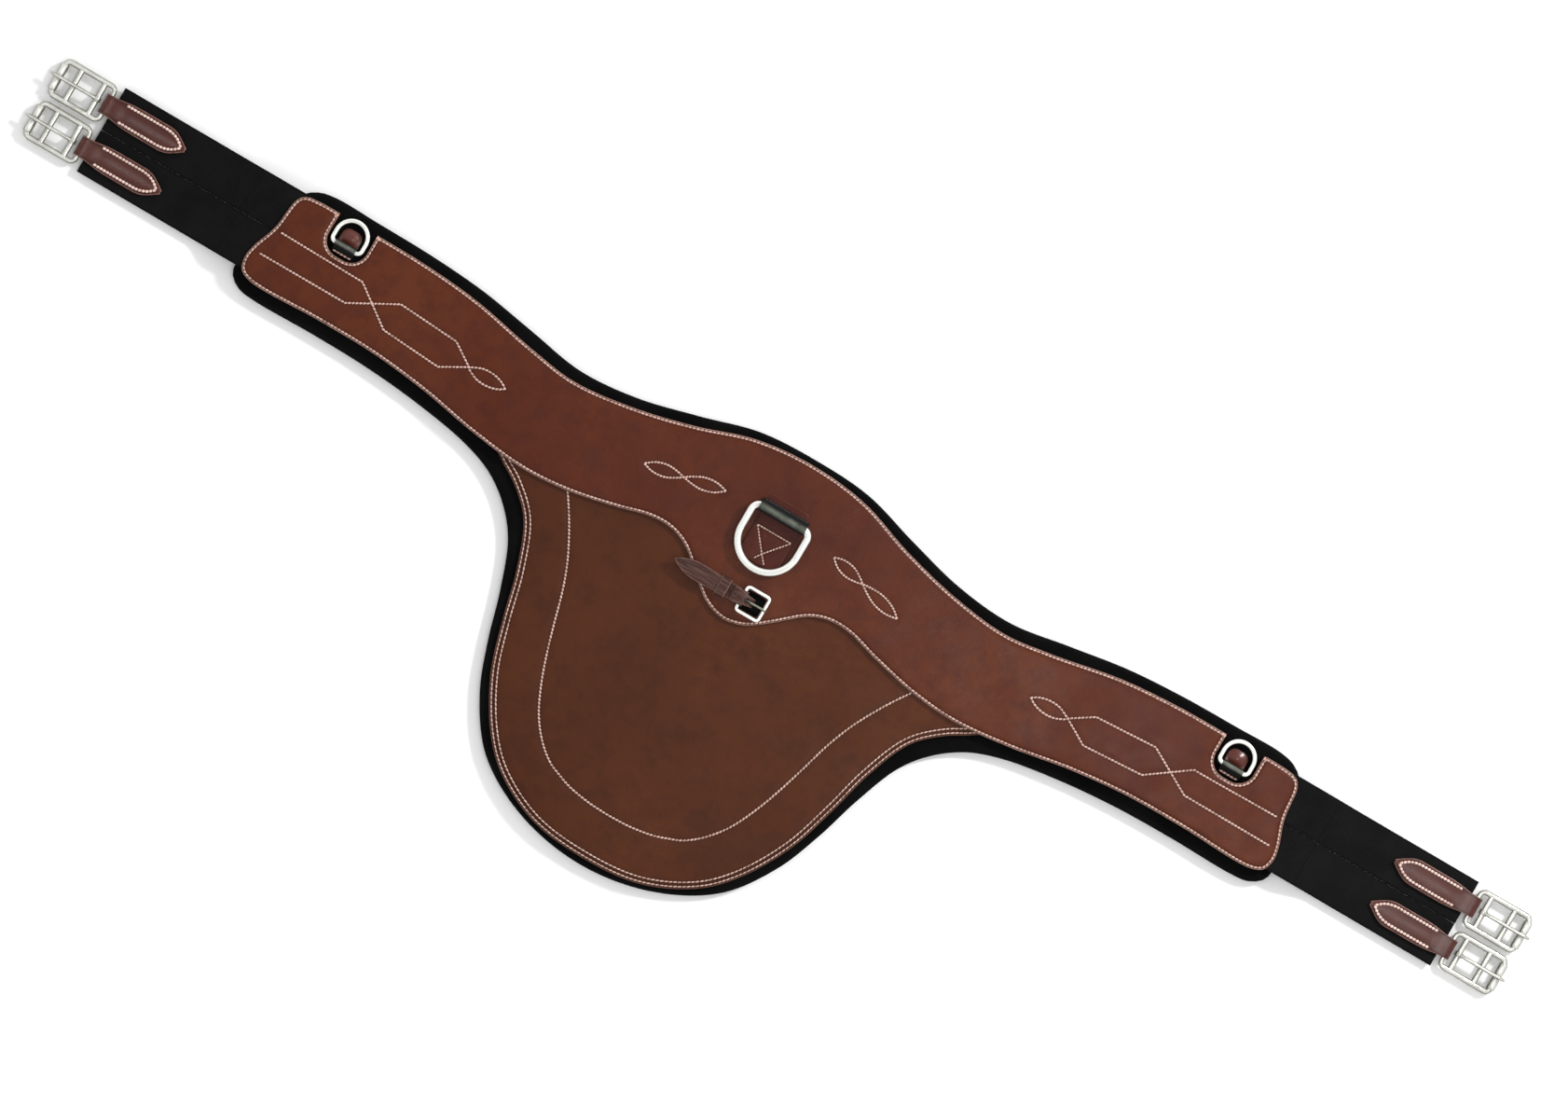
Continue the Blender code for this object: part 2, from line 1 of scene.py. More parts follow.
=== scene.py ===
"""Saddle girth with a belly guard: the finished look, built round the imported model.

Sizes are in millimetres unless they are said to be otherwise.
"""

import math

import bpy
import numpy as np
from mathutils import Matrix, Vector
from mathutils.bvhtree import BVHTree
from mathutils.kdtree import KDTree


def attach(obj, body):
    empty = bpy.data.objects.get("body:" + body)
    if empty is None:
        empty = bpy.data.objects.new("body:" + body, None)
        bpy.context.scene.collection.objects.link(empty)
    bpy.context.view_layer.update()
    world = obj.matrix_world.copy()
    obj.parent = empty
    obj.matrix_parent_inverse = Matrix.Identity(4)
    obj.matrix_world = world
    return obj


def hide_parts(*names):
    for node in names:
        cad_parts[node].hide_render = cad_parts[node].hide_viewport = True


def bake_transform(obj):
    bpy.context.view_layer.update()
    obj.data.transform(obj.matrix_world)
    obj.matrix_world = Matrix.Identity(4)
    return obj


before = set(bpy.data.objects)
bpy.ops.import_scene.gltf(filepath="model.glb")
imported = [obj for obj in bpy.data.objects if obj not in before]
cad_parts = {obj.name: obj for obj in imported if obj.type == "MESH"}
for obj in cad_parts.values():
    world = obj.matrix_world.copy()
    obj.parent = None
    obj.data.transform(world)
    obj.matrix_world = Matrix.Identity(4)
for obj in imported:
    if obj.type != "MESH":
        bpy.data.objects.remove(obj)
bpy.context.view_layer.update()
MM = 0.001


# ---------------------------------------------------------------- camera, floor and light
# The girth lies on a plain white table and is seen from straight above, turned so that it runs
# down to the right. One soft key light stands to the upper right, three weak lights overhead give
# the leather its sheen, and a bright room fills the rest. Their places are in metres.
CAMERA_TURN = math.radians(30.4)
CAMERA_AT = (17.6 * MM, -22.7 * MM, 2.98)
CAMERA_LENS = 85
CAMERA_SENSOR = 36
TABLE_SIZE = 40
TABLE_HEIGHT = -0.0002
ROOM_BELOW, ROOM_LEVEL, ROOM_ABOVE = 1.0, 0.95, 0.26
ROOM_STRENGTH = 1.12
KEY_FROM = Vector((0.474, 0.703, 0.53))
KEY_LIGHT = {"distance": 3.2, "size": 0.32, "power": 68}
SHEEN_FROM = Vector((0.56, 0.02, 2.5))
SHEEN_LIGHT = {"distance": 1.0, "size": 0.7, "power": 10}
END_SHEENS_FROM = [Vector((-1.14, 0.0, 2.5)), Vector((1.17, 0.0, 2.5))]
END_SHEEN_LIGHT = {"distance": 1.0, "size": 0.22, "power": 1.6}

bpy.context.scene.view_settings.view_transform = "Standard"
bpy.ops.object.select_all(action="DESELECT")
bpy.ops.object.camera_add(location=CAMERA_AT, rotation=(0, 0, CAMERA_TURN))
camera = bpy.context.object
camera.data.lens = CAMERA_LENS
camera.data.sensor_width = CAMERA_SENSOR
camera.data.clip_end = 50
bpy.context.scene.camera = camera


def new_material(name):
    """A fresh material: itself, its nodes, its links and its main shader."""
    made = bpy.data.materials.new(name)
    made.use_nodes = True
    nodes = made.node_tree.nodes
    return made, nodes, made.node_tree.links, nodes["Principled BSDF"]


bpy.ops.mesh.primitive_plane_add(size=TABLE_SIZE, location=(0, 0, TABLE_HEIGHT))
floor = bpy.context.object
floor.name = "table_top"
floor_look, nodes, links, shader = new_material("white_table")
shader.inputs["Base Color"].default_value = (0.96, 0.96, 0.96, 1)
shader.inputs["Roughness"].default_value = 0.9
shader.inputs["Specular IOR Level"].default_value = 0.1
floor.data.materials.append(floor_look)

room = bpy.data.worlds.new("bright_room")
bpy.context.scene.world = room
room.use_nodes = True
nodes, links = room.node_tree.nodes, room.node_tree.links
where = nodes.new("ShaderNodeTexCoord")
parts = nodes.new("ShaderNodeSeparateXYZ")
ramp = nodes.new("ShaderNodeValToRGB")
ramp.color_ramp.elements[0].position = 0.5
ramp.color_ramp.elements[0].color = (ROOM_LEVEL, ROOM_LEVEL, ROOM_LEVEL, 1)
ramp.color_ramp.elements[1].position = 1.0
ramp.color_ramp.elements[1].color = (ROOM_ABOVE, ROOM_ABOVE, ROOM_ABOVE, 1)
low_sky = ramp.color_ramp.elements.new(0.0)
low_sky.color = (ROOM_BELOW, ROOM_BELOW, ROOM_BELOW, 1)
links.new(where.outputs["Generated"], parts.inputs["Vector"])
links.new(parts.outputs["Z"], ramp.inputs["Fac"])
links.new(ramp.outputs["Color"], nodes["Background"].inputs["Color"])
nodes["Background"].inputs["Strength"].default_value = ROOM_STRENGTH


def soft_light(name, towards, distance, size, power):
    """A square soft box that faces the girth."""
    bpy.ops.object.light_add(type="AREA", location=towards * distance)
    light = bpy.context.object
    light.name = name
    light.data.size = size
    light.data.energy = power
    light.rotation_euler = towards.to_track_quat("Z", "Y").to_euler()


soft_light("key_light", KEY_FROM, **KEY_LIGHT)
soft_light("sheen_light", SHEEN_FROM, **SHEEN_LIGHT)
for spot in END_SHEENS_FROM:
    soft_light("end_sheen", spot, **END_SHEEN_LIGHT)


# ---------------------------------------------------------------- lining
# One piece of black lining cloth wrapped over a foam pad, with its edge rolled. It is sewn to the
# leather all round, and only its rolled border shows, puffed up a little beyond the stitching.
LINING_HALF = [
    (0, 59), (50, 56), (100, 42), (150, 29.5), (200, 25.2), (250, 33), (300, 41), (350, 44.5),
    (400, 45.3), (440, 45.6), (454, 42.5), (464, 35), (470, 22), (479, -18), (483, -40),
    (480, -50), (470, -57), (455, -59), (400, -58.5), (350, -59.5), (300, -63.8), (250, -72.3),
    (222, -82.5), (199, -99.5), (182, -121), (166.5, -160), (154.5, -200), (138.5, -240),
    (109, -280), (60, -307), (0, -317),
]
LINING_LOW = 2.4
LINING_WALL = 2.6
LINING_ROLL = [(0.3, 1.3), (0.8, 0.9), (1.3, 0.6), (1.6, 0.1)]
LINING_UNDERSIDE = [(0.3, -1.2), (0.9, -0.8), (1.4, -0.4)]
LINING_CELLS = 14


def smooth_run(points, step, closed=False):
    """A smooth line through the points, with about one point for each step."""
    points = [Vector(p) for p in points]
    count = len(points)
    if not closed:
        points = [points[0] * 2 - points[1], *points, points[-1] * 2 - points[-2]]
    run = []
    for i in range(count if closed else count - 1):
        if closed:
            before, start, end, after = (points[(i + k) % count] for k in (-1, 0, 1, 2))
        else:
            before, start, end, after = points[i:i + 4]
        t1 = math.sqrt((start - before).length)
        t2 = t1 + math.sqrt((end - start).length)
        t3 = t2 + math.sqrt((after - end).length)
        steps = max(1, round((end - start).length / step))
        for k in range(steps):
            t = t1 + (t2 - t1) * k / steps
            a1 = before.lerp(start, t / t1)
            a2 = start.lerp(end, (t - t1) / (t2 - t1))
            a3 = end.lerp(after, (t - t2) / (t3 - t2))
            b1 = a1.lerp(a2, t / t2)
            b2 = a2.lerp(a3, (t - t1) / (t3 - t1))
            run.append(b1.lerp(b2, (t - t1) / (t2 - t1)))
    if not closed:
        run.append(points[-2].copy())
    return run


def smooth_outline(half, step):
    """A smooth closed outline through the half outline's points and their mirror images."""
    points = [Vector(p) for p in half] + [Vector((-x, y)) for x, y in half[-2:0:-1]]
    return smooth_run(points, step, closed=True)


def only(*pieces):
    """Just these objects selected, the first of them active, in object mode."""
    if bpy.context.mode != "OBJECT":
        bpy.ops.object.mode_set(mode="OBJECT")
    bpy.ops.object.select_all(action="DESELECT")
    for piece in pieces:
        piece.select_set(True)
    if pieces:
        bpy.context.view_layer.objects.active = pieces[0]


def area_of(outline):
    return sum(a.x * b.y - b.x * a.y for a, b in zip(outline, outline[1:] + outline[:1])) / 2


def cut_panel(name, outline, low, wall, rim, cells=0.0):
    """A panel cut to the outline: a wall that rises from low, then rim steps that go in and up."""
    only()
    bpy.ops.mesh.primitive_circle_add(vertices=len(outline), radius=0.1, fill_type="NGON")
    panel = bpy.context.object
    panel.name = name
    ordered = outline if area_of(outline) > 0 else outline[::-1]
    for vertex, point in zip(panel.data.vertices, ordered):
        vertex.co = (point.x * MM, point.y * MM, low * MM)
    bpy.ops.object.mode_set(mode="EDIT")
    bpy.ops.mesh.select_mode(type="FACE")
    bpy.ops.mesh.select_all(action="SELECT")
    bpy.ops.mesh.extrude_region_move(TRANSFORM_OT_translate={"value": (0, 0, wall * MM)})
    for inward, up in rim:
        bpy.ops.mesh.inset(thickness=inward * MM)
        bpy.ops.transform.translate(value=(0, 0, up * MM))
    if cells:
        bpy.ops.mesh.hide(unselected=True)
        for axis in (0, 1):
            low_side = min(p[axis] for p in ordered)
            high_side = max(p[axis] for p in ordered)
            count = int((high_side - low_side) / cells)
            for k in range(1, count):
                place = [0.0, 0.0, 0.0]
                normal = [0.0, 0.0, 0.0]
                place[axis] = (low_side + (high_side - low_side) * k / count) * MM
                normal[axis] = 1.0
                bpy.ops.mesh.select_all(action="SELECT")
                bpy.ops.mesh.bisect(plane_co=place, plane_no=normal)
        bpy.ops.mesh.reveal(select=False)
    bpy.ops.mesh.select_all(action="SELECT")
    bpy.ops.mesh.remove_doubles(threshold=0.00001)
    bpy.ops.mesh.normals_make_consistent(inside=False)
    bpy.ops.object.mode_set(mode="OBJECT")
    return panel


def finish_with(piece, kind, **settings):
    """Adds a modifier with these settings and applies it."""
    only(piece)
    modifier = piece.modifiers.new(kind.lower(), kind)
    for setting, value in settings.items():
        setattr(modifier, setting, value)
    bpy.ops.object.modifier_apply(modifier=modifier.name)


def swell(panel, patch, amount):
    """Lets the surface rise and sink by up to half the amount, over patches of the given size."""
    clouds = bpy.data.textures.new(panel.name + "_waves", "CLOUDS")
    clouds.noise_scale = patch * MM
    finish_with(
        panel, "DISPLACE", texture=clouds, texture_coords="LOCAL", direction="Z", mid_level=0.5,
        strength=amount * MM,
    )


def smooth_shade(piece, degrees=40):
    only(piece)
    bpy.ops.object.shade_smooth_by_angle(angle=math.radians(degrees))


def bump_chain(nodes, links, shader, layers):
    """Bumps one on another: each layer is a height socket, its strength and its depth."""
    last = None
    for height, strength, depth in layers:
        bump = nodes.new("ShaderNodeBump")
        bump.inputs["Strength"].default_value = strength
        bump.inputs["Distance"].default_value = depth * MM
        links.new(height, bump.inputs["Height"])
        if last:
            links.new(last.outputs["Normal"], bump.inputs["Normal"])
        last = bump
    links.new(last.outputs["Normal"], shader.inputs["Normal"])


def noise(nodes, links, place, scale, detail=3.0, rough=0.55):
    made = nodes.new("ShaderNodeTexNoise")
    made.inputs["Scale"].default_value = scale
    made.inputs["Detail"].default_value = detail
    made.inputs["Roughness"].default_value = rough
    links.new(place, made.inputs["Vector"])
    return made.outputs["Fac"]


def mixed(nodes, links, share, one, two):
    """A colour that goes from one to two with the share. Each is a colour or a socket."""
    mix = nodes.new("ShaderNodeMix")
    mix.data_type = "RGBA"
    links.new(share, mix.inputs["Factor"])
    for socket, value in ((mix.inputs[6], one), (mix.inputs[7], two)):
        if isinstance(value, tuple):
            socket.default_value = (*value, 1)
        else:
            links.new(value, socket)
    return mix.outputs[2]


def ranged(nodes, links, value, low, high, to_low, to_high):
    """The value, moved from the range low to high into the range to_low to to_high."""
    change = nodes.new("ShaderNodeMapRange")
    change.inputs["From Min"].default_value = low
    change.inputs["From Max"].default_value = high
    change.inputs["To Min"].default_value = to_low
    change.inputs["To Max"].default_value = to_high
    links.new(value, change.inputs["Value"])
    return change.outputs["Result"]


def multiplied(nodes, links, one, two):
    product = nodes.new("ShaderNodeMath")
    product.operation = "MULTIPLY"
    links.new(one, product.inputs[0])
    links.new(two, product.inputs[1])
    return product.outputs[0]


def stored(nodes, attribute):
    """What a piece stores at its points under this name."""
    reader = nodes.new("ShaderNodeAttribute")
    reader.attribute_name = attribute
    return reader.outputs["Fac"]


def two_tone(nodes, links, share, one, two, low=0.35, high=0.65):
    """A colour that goes from one to two as the share goes from low to high."""
    made = nodes.new("ShaderNodeValToRGB")
    made.color_ramp.elements[0].position = low
    made.color_ramp.elements[0].color = (*one, 1)
    made.color_ramp.elements[1].position = high
    made.color_ramp.elements[1].color = (*two, 1)
    links.new(share, made.inputs["Fac"])
    return made.outputs["Color"]


def ribs(nodes, links, place, direction, spacing, wobble=0.6):
    """Parallel ridges with the given spacing in millimetres."""
    wave = nodes.new("ShaderNodeTexWave")
    wave.bands_direction = direction
    wave.inputs["Scale"].default_value = 314 / spacing
    wave.inputs["Distortion"].default_value = wobble
    wave.inputs["Detail"].default_value = 1.0
    links.new(place, wave.inputs["Vector"])
    return wave.outputs["Fac"]


def cloth_look(name, dark, light, weave, rough, sheen=0.0, gloss=0.06):
    """A woven cloth: crossed threads of the given spacings and a few paler patches."""
    made, nodes, links, shader = new_material(name)
    place = nodes.new("ShaderNodeTexCoord").outputs["Object"]
    patch = noise(nodes, links, place, 24)
    links.new(two_tone(nodes, links, patch, dark, light), shader.inputs["Base Color"])
    shader.inputs["Roughness"].default_value = rough
    shader.inputs["Specular IOR Level"].default_value = gloss
    shader.inputs["Sheen Weight"].default_value = sheen
    shader.inputs["Sheen Roughness"].default_value = 0.4
    layers = [
        (ribs(nodes, links, place, "X", weave[0]), 0.5, 0.12),
        (ribs(nodes, links, place, "Y", weave[1]), 0.5, 0.12),
        (noise(nodes, links, place, 700), 0.4, 0.1),
    ]
    bump_chain(nodes, links, shader, layers)
    return made


lining_outline = smooth_outline(LINING_HALF, 5.0)
lining = cut_panel(
    "padded_lining", lining_outline, LINING_LOW, LINING_WALL, LINING_ROLL, cells=LINING_CELLS
)
underside = min(range(len(lining.data.polygons)), key=lambda i: lining.data.polygons[i].center.z)
for part in (lining.data.vertices, lining.data.edges, lining.data.polygons):
    part.foreach_set("select", [False] * len(part))
lining.data.polygons[underside].select = True
bpy.ops.object.mode_set(mode="EDIT")
for inward, down in LINING_UNDERSIDE:
    bpy.ops.mesh.inset(thickness=inward * MM)
    bpy.ops.transform.translate(value=(0, 0, down * MM))
bpy.ops.object.mode_set(mode="OBJECT")
swell(lining, 26, 0.4)
smooth_shade(lining, 60)
black_cloth = cloth_look(
    "black_lining", (0.0016, 0.0016, 0.0016), (0.0034, 0.0034, 0.0033), (0.9, 0.9), 0.85
)
lining.data.materials.append(black_cloth)
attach(lining, "girth_body")
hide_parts("lining", "foam_pad")


# ---------------------------------------------------------------- load web
# Flat woven webbing between lining and leather. It ties the two pairs of elastics together and is
# hidden when the girth is finished.
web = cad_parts["load_web"]
web_look = cloth_look("grey_web", (0.02, 0.02, 0.021), (0.035, 0.035, 0.037), (1.6, 1.1), 0.8)
for web_slot in web.material_slots:
    web_slot.material = web_look


# ---------------------------------------------------------------- belly guard
# One panel of dark brown leather under the rear edge of the girth leather. Two rows round its edge
# sew it to the lining, and a single row of heavier thread follows its shape further in.
GUARD_HALF = [
    (0, -38), (60, -38), (110, -40), (160, -49), (208, -54), (222, -57), (226, -62), (219, -68),
    (200, -80), (179.5, -100), (163.5, -138), (153, -178), (139.5, -220), (116.5, -260),
    (92, -285), (50, -305.5), (0, -311),
]
GUARD_PATTERN = [
    (160, -63), (150, -78), (140, -95), (131, -113), (123, -134), (115, -162), (108, -185),
    (100, -207), (90, -228), (80, -242), (70, -252), (60, -259), (50, -263), (40, -266.5),
    (20, -270), (0, -271),
]
GUARD_ROWS_IN = (2.0, 5.6)
GUARD_SHOWS_BELOW = -56
GUARD_THICK = 2.8
GUARD_RIM = [
    (0.3, 0.45), (0.5, 0.22), (0.5, 0.0), (0.3, -0.22), (0.8, 0.0), (0.3, 0.22), (0.6, 0.05),
]
LEATHER_LOW = 8.3
CUT_EDGE = 1.0
STITCH_LENGTH = 0.47
STITCH_HEIGHT = 0.42
STITCH_BLUNT = 0.75


def mirrored(run):
    return [Vector((-p[0], p[1])) for p in run]


def inside_line(outline, distance, keep=None):
    """The line that follows an outline at the given distance inside it."""
    sign = 1 if area_of(outline) > 0 else -1
    near = KDTree(len(outline))
    for i, p in enumerate(outline):
        near.insert((p.x, p.y, 0), i)
    near.balance()
    line = []
    for i, p in enumerate(outline):
        along = (outline[(i + 1) % len(outline)] - outline[i - 1]).normalized()
        moved = p + Vector((-along.y, along.x)) * sign * distance
        clear = near.find((moved.x, moved.y, 0))[2] > distance * 0.93
        if clear and (keep is None or keep(moved)):
            line.append(moved)
    return line


def near_lines(lines):
    """A search tree over points every 0.5 mm along the lines."""
    dots = []
    for line in lines:
        for a, b in zip(line, line[1:]):
            steps = max(1, int((b - a).length / 0.5))
            dots += [a.lerp(b, k / steps) for k in range(steps)]
    tree = KDTree(max(1, len(dots)))
    for i, dot in enumerate(dots):
        tree.insert((dot.x, dot.y, 0), i)
    tree.balance()
    return tree


def dress_panel(panel, outline, rows, top, crown, reach, sink, width):
    """Crowns the panel and sinks it along its thread. Stores how far the edge and thread are."""
    edge_tree = near_lines([outline + outline[:1]])
    row_tree = near_lines(rows)
    mesh = panel.data
    edge = mesh.attributes.new("edge_mm", "FLOAT", "POINT")
    thread = mesh.attributes.new("thread_mm", "FLOAT", "POINT")
    for vertex in mesh.vertices:
        flat = (vertex.co.x / MM, vertex.co.y / MM, 0)
        from_edge = edge_tree.find(flat)[2]
        from_row = row_tree.find(flat)[2]
        edge.data[vertex.index].value = from_edge if vertex.co.z > top * MM else CUT_EDGE
        thread.data[vertex.index].value = from_row
        if vertex.co.z > top * MM:
            rise = crown * (1 - math.exp(-from_edge / reach))
            vertex.co.z += (rise - sink * math.exp(-(from_row / width) ** 2)) * MM


def leather_look(
    name, base, warm, deep, rim, rough, grain=1.0, gloss=0.4, wax=0.0, streak=0.0
):
    """Waxed bridle leather: cloudy, finely pored, with painted shade along its thread, worn at its
    rim.
    """
    made, nodes, links, shader = new_material(name)
    place = nodes.new("ShaderNodeTexCoord").outputs["Object"]
    clouds = noise(nodes, links, place, 7, 4.0, 0.5)
    mottle = noise(nodes, links, place, 55, 5.0, 0.65)
    colour = two_tone(nodes, links, clouds, base, warm, 0.38, 0.66)
    blotches = ranged(nodes, links, mottle, 0.42, 0.75, 0.0, 0.75)
    colour = mixed(nodes, links, blotches, colour, deep)
    stretch = nodes.new("ShaderNodeMapping")
    stretch.inputs["Scale"].default_value = (0.06, 1, 1)
    links.new(place, stretch.inputs["Vector"])
    drawn = noise(nodes, links, stretch.outputs["Vector"], 700, 3.0, 0.6)
    scuffs = ranged(nodes, links, drawn, 0.42, 0.62, 0.0, streak)
    colour = mixed(nodes, links, scuffs, colour, rim)
    # Painted shade: the leather darkens in the sunk groove along its thread.
    dark = tuple(c * 0.35 for c in deep)
    thread_shade = ranged(nodes, links, stored(nodes, "thread_mm"), 0.5, 2.4, 0.65, 0.0)
    colour = mixed(nodes, links, thread_shade, colour, dark)
    worn = noise(nodes, links, place, 260, 3.0, 0.6)
    by_edge = ranged(nodes, links, stored(nodes, "edge_mm"), 0.15, 1.1, 1.0, 0.0)
    patchy = ranged(nodes, links, worn, 0.3, 0.6, 0.35, 1.0)
    colour = mixed(nodes, links, multiplied(nodes, links, by_edge, patchy), colour, rim)
    links.new(colour, shader.inputs["Base Color"])
    shine = noise(nodes, links, place, 30, 4.0, 0.6)
    dull = ranged(nodes, links, shine, 0.3, 0.7, rough - 0.07, rough + 0.1)
    links.new(dull, shader.inputs["Roughness"])
    shader.inputs["Specular IOR Level"].default_value = gloss
    shader.inputs["Coat Weight"].default_value = wax
    shader.inputs["Coat Roughness"].default_value = 0.2
    pores = nodes.new("ShaderNodeTexVoronoi")
    pores.inputs["Scale"].default_value = 1050
    links.new(place, pores.inputs["Vector"])
    layers = [
        (noise(nodes, links, place, 38, 4.0, 0.6), 0.5, 0.55),
        (noise(nodes, links, place, 190, 3.0, 0.6), 0.4 * grain, 0.2),
        (pores.outputs["Distance"], 0.45 * grain, 0.1),
    ]
    bump_chain(nodes, links, shader, layers)
    return made


def thread_look(name, light, dark):
    """Waxed twisted thread, a little soiled, with slanting plies."""
    made, nodes, links, shader = new_material(name)
    place = nodes.new("ShaderNodeTexCoord").outputs["Object"]
    soil = noise(nodes, links, place, 150, 3.0, 0.7)
    links.new(two_tone(nodes, links, soil, dark, light, 0.3, 0.55), shader.inputs["Base Color"])
    shader.inputs["Roughness"].default_value = 0.6
    turn = nodes.new("ShaderNodeMapping")
    turn.inputs["Rotation"].default_value = (0, 0, math.radians(38))
    links.new(place, turn.inputs["Vector"])
    plies = ribs(nodes, links, turn.outputs["Vector"], "X", 0.7)
    bump_chain(nodes, links, shader, [(plies, 0.7, 0.15)])
    return made


def sew(name, runs, onto, body, pitch, width, slant=8.0):
    """Rows of stitches along flat runs, each stitch laid on the piece under it."""
    only()
    bpy.ops.mesh.primitive_uv_sphere_add(segments=8, ring_count=6, radius=1)
    pattern = bpy.context.object
    corners = np.array([v.co for v in pattern.data.vertices])[:, [2, 0, 1]]
    corners[:, 0] = np.sign(corners[:, 0]) * np.abs(corners[:, 0]) ** STITCH_BLUNT
    faces = [tuple(p.vertices) for p in pattern.data.polygons]
    bpy.data.objects.remove(pattern)
    surfaces = []
    for piece in onto:
        sides = [tuple(p.vertices) for p in piece.data.polygons]
        surfaces.append(BVHTree.FromPolygons([v.co for v in piece.data.vertices], sides))
    down = Vector((0, 0, -1))
    points, polygons = [], []
    for run in runs:
        run = [Vector(p) for p in run]
        lengths = [0.0]
        for a, b in zip(run, run[1:]):
            lengths.append(lengths[-1] + (b - a).length)
        count = max(1, round(lengths[-1] / pitch))
        step = lengths[-1] / count
        ends = [
            np.interp(np.arange(2 * count + 1) * step / 2, lengths, [p[axis] for p in run]) * MM
            for axis in (0, 1)
        ]
        size = np.array([step * STITCH_LENGTH, width / 2, width * STITCH_HEIGHT]) * MM
        for k in range(count):
            x, y = ends[0][2 * k + 1], ends[1][2 * k + 1]
            hits = [s.ray_cast(Vector((x, y, 0.2)), down)[0] for s in surfaces]
            heights = [hit.z for hit in hits if hit]
            if not heights:
                continue
            turn = math.atan2(y - ends[1][2 * k], x - ends[0][2 * k]) + math.radians(slant)
            cos, sin = math.cos(turn), math.sin(turn)
            first = len(points)
            for u, v, w in corners * size:
                points.append((x + u * cos - v * sin, y + u * sin + v * cos, max(heights) + w))
            polygons += [tuple(first + c for c in face) for face in faces]
    mesh = bpy.data.meshes.new(name)
    mesh.from_pydata(points, [], polygons)
    thread = bpy.data.objects.new(name, mesh)
    bpy.context.scene.collection.objects.link(thread)
    smooth_shade(thread, 80)
    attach(thread, body)
    return thread


def over_guard(p):
    return p.y < GUARD_SHOWS_BELOW


guard_outline = smooth_outline(GUARD_HALF, 3.0)
guard_pattern = smooth_run(GUARD_PATTERN, 2.0)
guard_pattern = guard_pattern + mirrored(guard_pattern)[::-1]
guard_rows = [inside_line(guard_outline, d, over_guard) for d in GUARD_ROWS_IN]
guard = cut_panel(
    "guard_panel", guard_outline, LEATHER_LOW, GUARD_THICK - 0.75, GUARD_RIM, cells=3.0
)
dress_panel(
    guard, guard_outline, guard_rows + [guard_pattern], LEATHER_LOW + 2.2, 0.3, 14, 0.55, 1.6
)
guard_leather = leather_look(
    "guard_brown", (0.063, 0.0155, 0.0042), (0.083, 0.0215, 0.0060), (0.042, 0.0105, 0.0038),
    (0.13, 0.07, 0.05), 0.46, grain=0.6, gloss=0.16,
)
guard.data.materials.append(guard_leather)
smooth_shade(guard, 50)
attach(guard, "girth_body")
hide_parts("belly_guard_leather")

pale_thread = thread_look("pale_thread", (0.66, 0.43, 0.36), (0.36, 0.20, 0.155))
for name, runs, pitch, width, slant in (
    ("guard_edge_thread", guard_rows, 3.6, 1.3, 6),
    ("guard_pattern_thread", [guard_pattern], 3.0, 1.7, 16),
):
    thread = sew(name, runs, [guard], "girth_body", pitch, width, slant)
    thread.data.materials.append(pale_thread)


# ---------------------------------------------------------------- girth leather
# The long reddish-brown strip with its lobe, two plies of bridle leather over a thin filler. It is
# cut in one piece with a U-shaped notch for each side ring, and stitched to the lining all round.
STRIP_HALF = [
    (0, 54), (50, 49), (100, 32.8), (150, 20.8), (200, 15.2), (240, 20.2), (300, 31.5),
    (350, 35.6), (400, 36.2), (450, 36), (460, 34), (465, 28), (469, 0), (476, -20), (478, -32),
    (475, -42), (465, -47), (400, -46.3), (350, -47), (300, -52.2), (250, -61), (200, -66),
    (160, -63), (120, -54.5), (92, -47), (74, -46.8), (58, -52.5), (35, -71.5), (18, -84),
    (0, -88.7),
]
STRIP_THICK = 6.5
STRIP_RIM = [
    (0.35, 0.75), (0.5, 0.35), (0.45, 0.05), (0.25, -0.3), (0.75, 0.0), (0.25, 0.3), (0.8, 0.1),
]
STRIP_ROW_IN = 1.9
GUARD_UNDER_X, GUARD_UNDER_Y = 236, -34
NOTCH_X = 412
NOTCH_HALF = 17.5
NOTCH_BOTTOM = 5
NOTCH_CORNER = 14
ARM_LINES = [
    [(278, -17.6), (299.6, -30), (352, -26.6), (386, -2), (462.5, -0.8)],
    [(278, -17.6), (297.1, -5), (350.4, -1.8), (389.7, -23.5), (469, -23.7)],
]
ARM_LEAF = [(243.5, -18.6), (249, -15), (258, -12.6), (268, -13.2), (278, -17.6)]
ARM_AXIS = -18.1
LOBE_LEAVES = [((-118, -13), (-85, -6.5), (-50, 1)), ((51, -1), (82, -8), (120, -18))]
LEAF_BULGE = 5.0


def notched(outline, side):
    """The outline with a U-shaped notch let into its front edge."""
    middle = side * NOTCH_X
    gone = [
        i for i, p in enumerate(outline) if abs(p.x - middle) < NOTCH_HALF + 0.5 and p.y > 0
    ]
    first, last = gone[0], gone[-1]
    forward = outline[last].x > outline[first].x
    front = outline[first].y
    across = NOTCH_HALF if forward else -NOTCH_HALF
    corner = math.copysign(NOTCH_CORNER, across)
    notch = [Vector((middle - across, front - k * 4.2)) for k in range(4)]
    for degrees in range(0, 91, 10):
        a = math.radians(degrees)
        notch.append(Vector((
            middle - across + corner * (1 - math.cos(a)),
            NOTCH_BOTTOM + NOTCH_CORNER * (1 - math.sin(a)),
        )))
    notch += [Vector((2 * middle - p.x, p.y)) for p in reversed(notch)]
    return outline[:first] + notch + outline[last + 1:]


